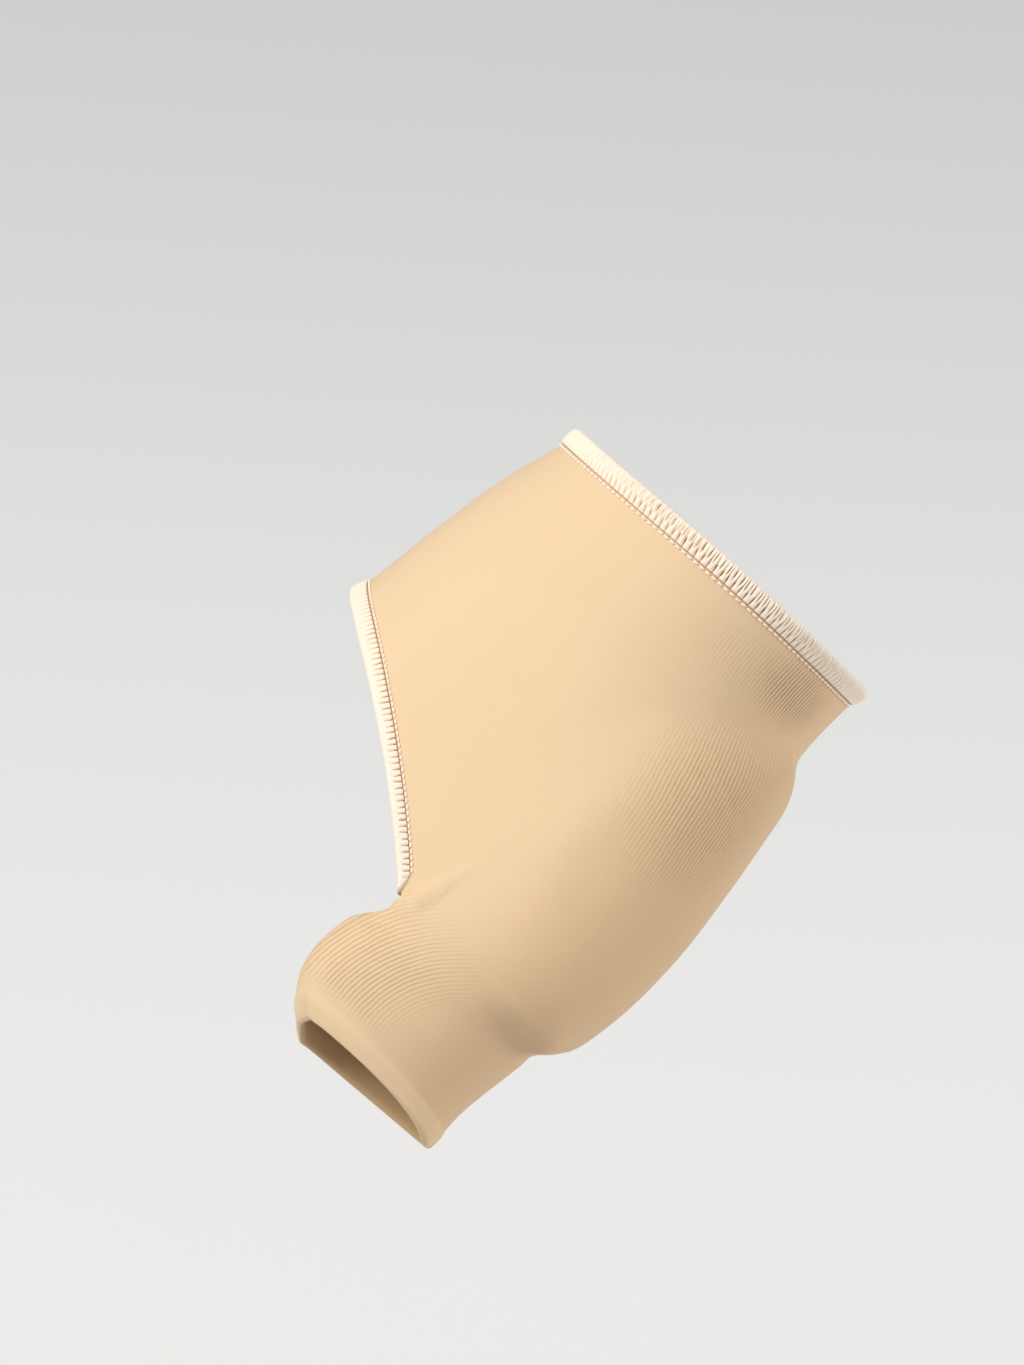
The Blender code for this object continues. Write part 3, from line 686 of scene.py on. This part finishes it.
def make_overlock(name, node, rim, kind, depths, finish):
    """The thread wound round the fabric's edge: loops on the outer face, a smooth roll round the nose."""
    leg = depths[::-1]
    inward = 1 - leg / kind.leg
    wound = strands(kind, rim.phase[:, ::-1], inward)
    closing = smooth((inward - kind.roll_from) / (1.02 - kind.roll_from))
    scallop = 0.06 * np.cos(2 * math.pi * (rim.phase[:, :1] + kind.slant))
    swell = np.sin(np.clip(0.12 + 0.88 * inward, 0, 1) * math.pi / 2) ** 0.8
    level = wound * (1 - closing) + closing * (1 + scallop)
    edge_level, edge_wound = level[:, -1:], (wound * (1 - closing) + closing)[:, -1:]
    level = level * swell
    heights = FABRIC + kind.roll * (0.14 + 0.86 * level) * smooth(inward / 0.10 + 0.3)
    outer = rim.points[:, ::-1] + rim.normals[:, ::-1] * heights[..., None]
    # Painted shade: the thread is browned in the slits between its loops and at the leg's edge beside the needle
    # thread; 1 is the lit cream
    lit_cream = (np.clip(wound * 1.25, 0, 1) * (1 - closing) + closing) * smooth(inward / 0.09)

    turns = np.linspace(0, math.pi, NOSE_ROWS + 2)[1:-1]
    covered = smooth(turns / (math.pi / 2))
    level = edge_level * (1 - covered) + (1 + scallop) * covered
    top, bottom = FABRIC + kind.roll * (0.14 + 0.86 * level), -OVERLOCK_INNER_ROLL
    middle, reach = (top + bottom) / 2, (top - bottom) / 2
    out = OVERLOCK_NOSE * (1 + scallop) * np.sin(turns) ** 0.9
    up = middle + reach * np.cos(turns)
    edge, normal = rim.points[:, :1], rim.normals[:, :1]
    nose = edge + rim.outwards[:, None] * out[..., None] + normal * up[..., None]
    # Painted shade: a dark line along the nose's outermost edge, where it meets the skin
    line = np.exp(-((turns - math.pi / 2) / 0.16) ** 2)
    nose_lit_cream = np.clip(edge_wound * 1.25, 0, 1) * (1 - covered) + covered * (1 - 0.65 * line)

    depth = np.linspace(0, OVERLOCK_INNER_LEG, INNER_ROWS)
    share = depth / OVERLOCK_INNER_LEG
    under = edge - rim.outwards[:, None] * depth[:, None]
    fall = OVERLOCK_INNER_ROLL * (1 - share**2) - FABRIC / 2 * (share == 1)
    inner = under - normal * fall[:, None]
    inner_lit_cream = np.ones(inner.shape[:2])

    grid = np.concatenate([outer, nose, inner], axis=1)
    lit_creams = np.concatenate([lit_cream, nose_lit_cream, inner_lit_cream], axis=1)
    columns, rows = grid.shape[:2]
    numbers = np.arange(columns * rows).reshape(columns, rows)
    beside = np.roll(numbers, -1, axis=0) if rim.closed else numbers[1:]
    here = numbers if rim.closed else numbers[:-1]
    corners = (here, beside, np.roll(beside, -1, axis=1), np.roll(here, -1, axis=1))
    faces = [tuple(face) for face in np.stack([corner.reshape(-1) for corner in corners], axis=1)]
    if not rim.closed:
        faces += [tuple(numbers[0]), tuple(numbers[-1][::-1])]
    points = grid.reshape(-1, 3)
    if volume(points, faces) < 0:
        faces = [face[::-1] for face in faces]
    piece = new_piece(name, points, faces, finish)
    across = np.broadcast_to(rim.phase[:, :1], grid.shape[:2]).reshape(-1)
    along = np.broadcast_to(np.arange(rows) / rows, grid.shape[:2]).reshape(-1)
    add_uv(piece.data, across, along)
    add_value(piece.data, "lit_cream", lit_creams.reshape(-1))
    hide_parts(node)
    return piece


def volume(points, faces):
    """Signed volume of a closed mesh: below nothing if its faces point inwards."""
    total = 0.0
    for face in faces:
        fan = points[list(face)]
        total += np.sum(np.cross(fan[1:-1], fan[2:]) @ fan[0])
    return total / 6


def add_value(mesh, name, values):
    layer = mesh.attributes.new(name, "FLOAT", "POINT")
    layer.data.foreach_set("value", np.ascontiguousarray(values, np.float32))


def make_needle_thread(name, rim, kind, finish):
    """The straight stitches beside the overlock's leg: a short round thread between each needle hole and the next."""
    sides, steps = 6, 6
    points, faces = [], []
    for loop in range(rim.loops):
        places = (loop + 0.09 + 0.82 * np.linspace(0, 1, steps)) * POINTS_PER_LOOP
        lower = np.clip(places.astype(int), 0, len(rim.at) - 2)
        share = (places - lower)[:, None]
        middle = rim.points[lower, -1] * (1 - share) + rim.points[lower + 1, -1] * share
        normal = unit(rim.normals[lower, -1] * (1 - share) + rim.normals[lower + 1, -1] * share)
        tangent = unit(middle[-1] - middle[0])
        side = np.cross(normal, tangent)
        bulge = np.sin(np.linspace(0.06, 0.94, steps) * math.pi) ** 0.5
        start = len(points)
        for turn in np.arange(sides) * 2 * math.pi / sides:
            reach = NEEDLE_THREAD * bulge[:, None]
            lift = normal * (FABRIC + reach * (0.5 + math.sin(turn)))
            points.extend(middle + lift + side * reach * math.cos(turn))
        for k in range(sides):
            here, beside = start + k * steps, start + (k + 1) % sides * steps
            for j in range(steps - 1):
                faces.append((here + j, beside + j, beside + j + 1, here + j + 1))
        faces.append(tuple(start + k * steps for k in reversed(range(sides))))
        faces.append(tuple(start + k * steps + steps - 1 for k in range(sides)))
    points = np.array(points)
    if volume(points, faces) < 0:
        faces = [face[::-1] for face in faces]
    piece = new_piece(name, points, faces, finish)
    add_value(piece.data, "lit_cream", np.ones(len(points)))
    add_uv(piece.data, np.arange(len(points)) % steps * 1.0, np.zeros(len(points)))
    return piece


def make_edges(sheet, thread):
    """Both overlocked edges, each with its needle thread."""
    made = []
    cuff = sheet.fore[:, :RIM_ROWS]
    outer = sheet.fore[len(sheet.shares) - 1 :]
    toes = np.vstack([outer, sheet.fore[:1]])[:, ::-1][:, :RIM_ROWS]
    for name, columns, kind, closed in (("cuff", cuff, CUFF_OVERLOCK, True), ("toe", toes, TOE_OVERLOCK, False)):
        depths = np.linspace(0, kind.leg, LEG_ROWS)
        points, normals = sheet.points[columns], sheet.normals[columns]
        rim = Rim(points, normals, depths, kind.pitch, closed)
        made.append(make_overlock(f"{name}_overlock", f"{name}_binding", rim, kind, depths, thread))
        beside = Rim(points, normals, np.append(depths, kind.leg + 1.6 * NEEDLE_THREAD), kind.pitch, closed)
        made.append(make_needle_thread(f"{name}_needle_thread", beside, kind, thread))
    return made


def share_at(station, girth):
    """The share at which the length round the foot is this girth."""
    lengths = girth_at(np.full(GIRTH_SHARES.shape, station), GIRTH_SHARES)
    return np.interp(-girth, -lengths, GIRTH_SHARES)


def foot_frame(station, share):
    """A point of the foot's inner side, and the way out of the foot there."""
    step = 0.01
    share = np.clip(share, step, 1 - step)

    def place(s, at):
        return in_space(inner_side(np.array([s]), np.array([at])), np.array([s]))[0]

    round_foot = place(station, share + step) - place(station, share - step)
    along_foot = place(station + step * BALL_TO_CUFF, share) - place(station - step * BALL_TO_CUFF, share)
    return place(station, share), unit(np.cross(round_foot, along_foot))


def soften(piece, levels):
    wall = piece.modifiers.new("soft", "SUBSURF")
    wall.levels = levels
    wall.render_levels = levels


def make_pad(finish):
    """The gel pad over the joint: level on the foot, domed under the fabric and thin at its rounded edge."""
    inner, outer = [], []
    for ring in range(PAD_RINGS + 1):
        share_out = math.sin(ring / PAD_RINGS * math.pi / 2)
        for spoke in range(PAD_SPOKES):
            turn = 2 * math.pi * spoke / PAD_SPOKES
            c, s = math.cos(turn), math.sin(turn)
            out, slope = pad_reach(np.array(c), np.array(s))
            size = (1.0 - slope * PAD_TRIM) / out * share_out
            station = PAD_BEHIND_BALL + PAD_LENGTH / 2 * size * c
            girth = PAD_TOWARDS_TOP + PAD_GIRTH / 2 * size * s
            point, normal = foot_frame(station, share_at(station, girth))
            room = float(pad_lift(np.array(station), np.array(girth))) - GEL_GAP
            rounding = math.sqrt(1 - share_out**10)
            outer.append(point + normal * (PAD_EDGE / 2 + (max(room, PAD_EDGE) - PAD_EDGE / 2) * rounding))
            if ring < PAD_RINGS:
                inner.append(point + normal * PAD_EDGE / 2 * (1 - rounding))
            if ring == 0:
                break
    faces = []
    base = len(outer)
    for spoke in range(PAD_SPOKES):
        after = (spoke + 1) % PAD_SPOKES
        faces.append((0, 1 + spoke, 1 + after))
        faces.append((base, base + 1 + after, base + 1 + spoke))
        for ring in range(PAD_RINGS - 1):
            a, b = 1 + ring * PAD_SPOKES + spoke, 1 + ring * PAD_SPOKES + after
            c, d = b + PAD_SPOKES, a + PAD_SPOKES
            faces.append((a, d, c, b))
            if ring < PAD_RINGS - 2:
                faces.append((base + b, base + c, base + d, base + a))
            else:
                faces.append((base + b, c, d, base + a))
    points = np.array(outer + inner)
    if volume(points, faces) < 0:
        faces = [face[::-1] for face in faces]
    pad = new_piece("gel_bunion_pad", points, faces, finish)
    soften(pad, 1)
    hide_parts("bunion_pad")
    return pad


def fabric_round_toe(sheet, station):
    """The fabric's inner face round the big toe at a station: its points (x, z)."""
    ring = []
    for column in sheet.toe:
        at = sheet.station[column][::-1]
        ring.append([np.interp(station, at, sheet.points[column][::-1, axis]) for axis in (0, 2)])
    return np.array(ring)


def make_separator(sheet, finish):
    """The gel separator: it fills the lobe between the big toe and the fabric beside it."""
    first = -BALL_TO_WEB - SEPARATOR_FROM_WEB
    last = -BALL_TO_WEB - TOE_TUBE_LENGTH + HEM_WIDTH
    sections = []
    for station in np.linspace(first, last, SEPARATOR_ROWS + 1):
        at = BIG_TOE_FORM.section(np.array([past_web(station)]))
        centre = np.array([at.medial_x[0] - TOE_WIDTH / 2, at.medial_z[0]])
        ring = fabric_round_toe(sheet, station) - centre
        angles = np.arctan2(ring[:, 1], ring[:, 0]) % (2 * math.pi)
        order = np.argsort(angles)

        def span(angle):
            """The toe's radius and the fabric's at an angle round the toe."""
            toe = 1 / np.hypot(np.cos(angle) * 2 / TOE_WIDTH, np.sin(angle) * 2 / TOE_HEIGHT)
            reach = np.hypot(ring[order, 0], ring[order, 1])
            return toe, np.interp(angle, angles[order], reach, period=2 * math.pi) - GEL_GAP

        steps = np.linspace(0, 1, 60)
        limits = []
        for towards in (SEPARATOR_TOP, SEPARATOR_SOLE):
            toe, room = span(math.pi + (towards - math.pi) * steps)
            thin = np.flatnonzero(room - toe < SEPARATOR_EDGE)
            stop = steps[thin[0] - 1] if len(thin) and thin[0] > 0 else (1.0 if not len(thin) else 0.02)
            limits.append(math.pi + (towards - math.pi) * stop)
        turns = np.linspace(limits[0], limits[1], SEPARATOR_COLUMNS + 1)
        toe, room = span(turns)
        around = np.stack([np.cos(turns), np.sin(turns)], axis=1)
        outline = np.vstack([centre + around * room[:, None], (centre + around * (toe + 0.0001)[:, None])[::-1]])
        sections.append(in_space(outline, np.full(len(outline), station)))
    size = len(sections[0])
    faces = []
    for i in range(len(sections) - 1):
        for j in range(size):
            here, after = i * size + j, i * size + (j + 1) % size
            faces.append((here, after, after + size, here + size))
    last_start = (len(sections) - 1) * size
    half = size // 2
    for start in (0, last_start):
        for j in range(half - 1):
            cap = (start + j, start + j + 1, start + size - 2 - j, start + size - 1 - j)
            faces.append(cap[::-1] if start == 0 else cap)
    points = np.concatenate(sections)
    if volume(points, faces) < 0:
        faces = [face[::-1] for face in faces]
    piece = new_piece("gel_toe_separator", points, faces, finish)
    soften(piece, 2)
    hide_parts("toe_separator")
    return piece


def principled(name, colour, roughness):
    made = bpy.data.materials.new(name)
    made.use_nodes = True
    shader = made.node_tree.nodes["Principled BSDF"]
    shader.inputs["Base Color"].default_value = (*colour, 1.0)
    shader.inputs["Roughness"].default_value = roughness
    return made, shader


def math_node(made, operation, *values):
    """A Math node whose inputs are numbers or other nodes' outputs; gives its output."""
    node = made.node_tree.nodes.new("ShaderNodeMath")
    node.operation = operation
    for socket, value in zip(node.inputs, values):
        if isinstance(value, (int, float)):
            socket.default_value = value
        else:
            made.node_tree.links.new(value, socket)
    return node.outputs[0]


def value_of(made, name):
    node = made.node_tree.nodes.new("ShaderNodeAttribute")
    node.attribute_name = name
    return node.outputs["Fac"]


def noise(made, scale, detail=2.0, rough=0.5):
    """Noise on the object's own coordinates: scale is how many lumps lie in a metre."""
    place = made.node_tree.nodes.new("ShaderNodeTexCoord")
    node = made.node_tree.nodes.new("ShaderNodeTexNoise")
    node.inputs["Scale"].default_value = scale
    node.inputs["Detail"].default_value = detail
    node.inputs["Roughness"].default_value = rough
    made.node_tree.links.new(place.outputs["Object"], node.inputs["Vector"])
    return node.outputs["Fac"]


def mixed(made, share, first, second, blend="MIX"):
    """A colour between two: each is a colour or another node's output."""
    node = made.node_tree.nodes.new("ShaderNodeMix")
    node.data_type = "RGBA"
    node.blend_type = blend
    made.node_tree.links.new(share, node.inputs[0])
    for socket, colour in ((node.inputs[6], first), (node.inputs[7], second)):
        if isinstance(colour, tuple):
            socket.default_value = (*colour, 1.0)
        else:
            made.node_tree.links.new(colour, socket)
    return node.outputs[2]


def fabric_material():
    """Beige stretch knit: fine ribs where it is stretched, a soft grain elsewhere, and a soft sheen. Painted shade
    darkens the rib grooves, the foot's inner side and the sleeve's inner face.
    """
    made, shader = principled("stretch fabric", FABRIC_BEIGE, 0.85)
    nodes, links = made.node_tree.nodes, made.node_tree.links
    uv = nodes.new("ShaderNodeUVMap")
    uv.uv_map = "fabric"
    apart = nodes.new("ShaderNodeSeparateXYZ")
    links.new(uv.outputs["UV"], apart.inputs["Vector"])
    ribs, hem = value_of(made, "ribs"), value_of(made, "hem")

    wobble = math_node(made, "MULTIPLY", math_node(made, "SUBTRACT", noise(made, 160.0), 0.5), 0.9)
    phase = math_node(made, "ADD", apart.outputs["X"], wobble)
    wave = math_node(made, "COSINE", math_node(made, "MULTIPLY", phase, 2 * math.pi))
    crest = math_node(made, "MULTIPLY", math_node(made, "ADD", wave, 1.0), 0.5)
    groove = math_node(made, "POWER", math_node(made, "SUBTRACT", 1.0, crest), 2.2)
    patchy = math_node(made, "ADD", 0.55, math_node(made, "MULTIPLY", noise(made, 420.0, 3.0), 0.9))
    line = math_node(made, "MULTIPLY", math_node(made, "MULTIPLY", groove, ribs), patchy)

    grain = noise(made, 2600.0, 3.0, 0.7)
    lumps = noise(made, 240.0, 2.0)
    height = math_node(made, "MULTIPLY", line, -RIB_HEIGHT)
    height = math_node(made, "ADD", height, math_node(made, "MULTIPLY", grain, GRAIN_HEIGHT))
    height = math_node(made, "ADD", height, math_node(made, "MULTIPLY", lumps, LUMP_HEIGHT))
    bump = nodes.new("ShaderNodeBump")
    bump.inputs["Strength"].default_value = 1.0
    bump.inputs["Distance"].default_value = 1.0
    links.new(height, bump.inputs["Height"])
    links.new(bump.outputs["Normal"], shader.inputs["Normal"])

    cloudy = math_node(made, "MULTIPLY", noise(made, 36.0, 3.0), 0.55)
    colour = mixed(made, cloudy, FABRIC_BEIGE, FABRIC_WARM)
    place = nodes.new("ShaderNodeTexCoord")
    sides = nodes.new("ShaderNodeSeparateXYZ")
    links.new(place.outputs["Object"], sides.inputs["Vector"])
    # Painted shade: past these x positions on the foot's inner side, the knit takes the darker, warmer shaded colour
    medial_shade = nodes.new("ShaderNodeMapRange")
    medial_shade.interpolation_type = "SMOOTHSTEP"
    medial_shade.inputs["From Min"].default_value = MEDIAL_SHADE_FROM
    medial_shade.inputs["From Max"].default_value = MEDIAL_SHADE_TO
    links.new(sides.outputs["X"], medial_shade.inputs["Value"])
    colour = mixed(made, medial_shade.outputs["Result"], colour, FABRIC_MEDIAL_SHADE)
    colour = mixed(made, math_node(made, "MULTIPLY", grain, 0.16), colour, FABRIC_GRAIN_AND_GROOVE_SHADE)
    # Painted shade: the grooves between the ribs are darkened where the ribs stand out
    colour = mixed(made, math_node(made, "MULTIPLY", line, 0.42), colour, FABRIC_GRAIN_AND_GROOVE_SHADE)
    colour = mixed(made, math_node(made, "MULTIPLY", hem, 0.35), colour, FABRIC_HEM)
    # Painted shade: the inner face is darkened
    colour = mixed(made, math_node(made, "MULTIPLY", value_of(made, "inner_face"), 0.8), colour, FABRIC_INSIDE_SHADE)
    links.new(colour, shader.inputs["Base Color"])
    roughness = math_node(made, "ADD", 0.74, math_node(made, "MULTIPLY", grain, 0.14))
    links.new(roughness, shader.inputs["Roughness"])
    shader.inputs["Sheen Weight"].default_value = 0.30
    shader.inputs["Sheen Roughness"].default_value = 0.35
    shader.inputs["Sheen Tint"].default_value = (1.0, 0.90, 0.74, 1.0)
    shader.inputs["Specular IOR Level"].default_value = 0.25
    return made


def thread_material():
    """Cream thread, with painted shade in brown between its loops, beside the needle thread and along the nose's outer
    edge, and with fine strands.
    """
    made, shader = principled("overlock thread", (0.86, 0.72, 0.50), 0.70)
    nodes, links = made.node_tree.nodes, made.node_tree.links
    lit_cream = nodes.new("ShaderNodeAttribute")
    lit_cream.attribute_name = "lit_cream"
    # Painted shade: low values give the browns of the shaded slits and edges, high values the lit cream thread
    ramp = nodes.new("ShaderNodeValToRGB")
    ramp.color_ramp.elements[0].position = 0.15
    ramp.color_ramp.elements[0].color = (0.36, 0.19, 0.08, 1.0)
    ramp.color_ramp.elements[1].position = 0.75
    ramp.color_ramp.elements[1].color = (0.98, 0.84, 0.69, 1.0)
    middle = ramp.color_ramp.elements.new(0.45)
    middle.color = (0.77, 0.56, 0.36, 1.0)
    links.new(lit_cream.outputs["Fac"], ramp.inputs["Fac"])
    links.new(ramp.outputs["Color"], shader.inputs["Base Color"])
    place = nodes.new("ShaderNodeTexCoord")
    strand = nodes.new("ShaderNodeTexNoise")
    strand.inputs["Scale"].default_value = 1.0
    strand.inputs["Detail"].default_value = 2.0
    stretch = nodes.new("ShaderNodeMapping")
    stretch.inputs["Scale"].default_value = (9.0, 3.0, 1.0)
    links.new(place.outputs["UV"], stretch.inputs["Vector"])
    links.new(stretch.outputs["Vector"], strand.inputs["Vector"])
    bump = nodes.new("ShaderNodeBump")
    bump.inputs["Strength"].default_value = 0.35
    bump.inputs["Distance"].default_value = 0.0001
    links.new(strand.outputs["Fac"], bump.inputs["Height"])
    links.new(bump.outputs["Normal"], shader.inputs["Normal"])
    shader.inputs["Sheen Weight"].default_value = 0.25
    shader.inputs["Sheen Roughness"].default_value = 0.5
    shader.inputs["Specular IOR Level"].default_value = 0.3
    return made


def gel_material():
    """Soft milky gel that lets light in, a little dusty and uneven."""
    made, shader = principled("gel", GEL_MILKY, 0.38)
    nodes, links = made.node_tree.nodes, made.node_tree.links
    cloud = noise(made, 130.0, 3.0)
    links.new(mixed(made, cloud, GEL_MILKY, GEL_AMBER), shader.inputs["Base Color"])
    dust = noise(made, 900.0, 4.0, 0.7)
    links.new(math_node(made, "ADD", 0.26, math_node(made, "MULTIPLY", dust, 0.30)), shader.inputs["Roughness"])
    bump = nodes.new("ShaderNodeBump")
    bump.inputs["Strength"].default_value = 1.0
    bump.inputs["Distance"].default_value = 0.00006
    links.new(dust, bump.inputs["Height"])
    links.new(bump.outputs["Normal"], shader.inputs["Normal"])
    shader.inputs["Subsurface Weight"].default_value = 0.7
    shader.inputs["Subsurface Radius"].default_value = (1.0, 0.75, 0.5)
    shader.inputs["Subsurface Scale"].default_value = 0.003
    return made


def floor_material():
    """A pale floor with painted shade: grey behind the object, as if the light fell off there, and white in front of
    it.
    """
    made, shader = principled("pale floor", FLOOR_WHITE, 0.95)
    nodes, links = made.node_tree.nodes, made.node_tree.links
    place = nodes.new("ShaderNodeTexCoord")
    apart = nodes.new("ShaderNodeSeparateXYZ")
    links.new(place.outputs["Object"], apart.inputs["Vector"])
    back = math_node(made, "SUBTRACT", apart.outputs["Y"], apart.outputs["X"])
    share = nodes.new("ShaderNodeMapRange")
    share.interpolation_type = "SMOOTHSTEP"
    share.inputs["From Min"].default_value = FLOOR_WHITE_TO
    share.inputs["From Max"].default_value = FLOOR_SHADE_FROM
    links.new(back, share.inputs["Value"])
    links.new(mixed(made, share.outputs["Result"], FLOOR_WHITE, FLOOR_SHADE_GREY), shader.inputs["Base Color"])
    shader.inputs["Specular IOR Level"].default_value = 0.0
    return made


def add_lamp(name, energy, size, colour, place):
    """A soft square lamp that faces the object."""
    lamp = bpy.data.lights.new(name, "AREA")
    lamp.energy = energy
    lamp.size = size
    lamp.color = colour
    made = bpy.data.objects.new(name, lamp)
    bpy.context.scene.collection.objects.link(made)
    made.location = place
    made.rotation_euler = made.location.to_track_quat("Z", "Y").to_euler()


def stage_and_light():
    bpy.ops.object.select_all(action="DESELECT")
    bpy.ops.mesh.primitive_plane_add(size=12, location=(0, 0, FLOOR_DEPTH))
    floor = bpy.context.object
    floor.name = "floor"
    floor.data.materials.append(floor_material())
    world = bpy.data.worlds.new("studio")
    bpy.context.scene.world = world
    world.use_nodes = True
    world.node_tree.nodes["Background"].inputs["Color"].default_value = (0.96, 0.98, 1.0, 1.0)
    world.node_tree.nodes["Background"].inputs["Strength"].default_value = WORLD_STRENGTH
    add_lamp("key", 19.0, 0.9, (1.0, 0.97, 0.92), (-0.68, -0.36, 1.34))
    add_lamp("rim", 3.0, 0.5, (1.0, 0.98, 0.95), (0.75, 0.60, 0.10))


def camera():
    data = bpy.data.cameras.new("camera")
    made = bpy.data.objects.new("camera", data)
    bpy.context.scene.collection.objects.link(made)
    bpy.context.scene.camera = made
    azimuth, elevation, distance = math.radians(45), math.radians(60), 1.542
    back = (
        math.sin(azimuth) * math.cos(elevation),
        -math.cos(azimuth) * math.cos(elevation),
        math.sin(elevation),
    )
    target = (-0.0128, 0.0224, 0.0)
    made.location = [t + b * distance for t, b in zip(target, back)]
    made.rotation_euler = (elevation_tilt(elevation), 0.0, azimuth)
    data.lens = 250
    data.sensor_width = 36
    data.clip_end = 20


def elevation_tilt(elevation):
    """A camera that looks down by this angle is tipped up from straight down by the rest of a quarter turn."""
    return math.pi / 2 - elevation


bpy.context.scene.view_settings.view_transform = "Standard"
camera()
stage_and_light()
fabric = fabric_material()
sheet = Sheet()
sleeve = make_sleeve(sheet, fabric)
edges = make_edges(sheet, thread_material())
gel = gel_material()
for piece in (make_pad(gel), make_separator(sheet, gel)):
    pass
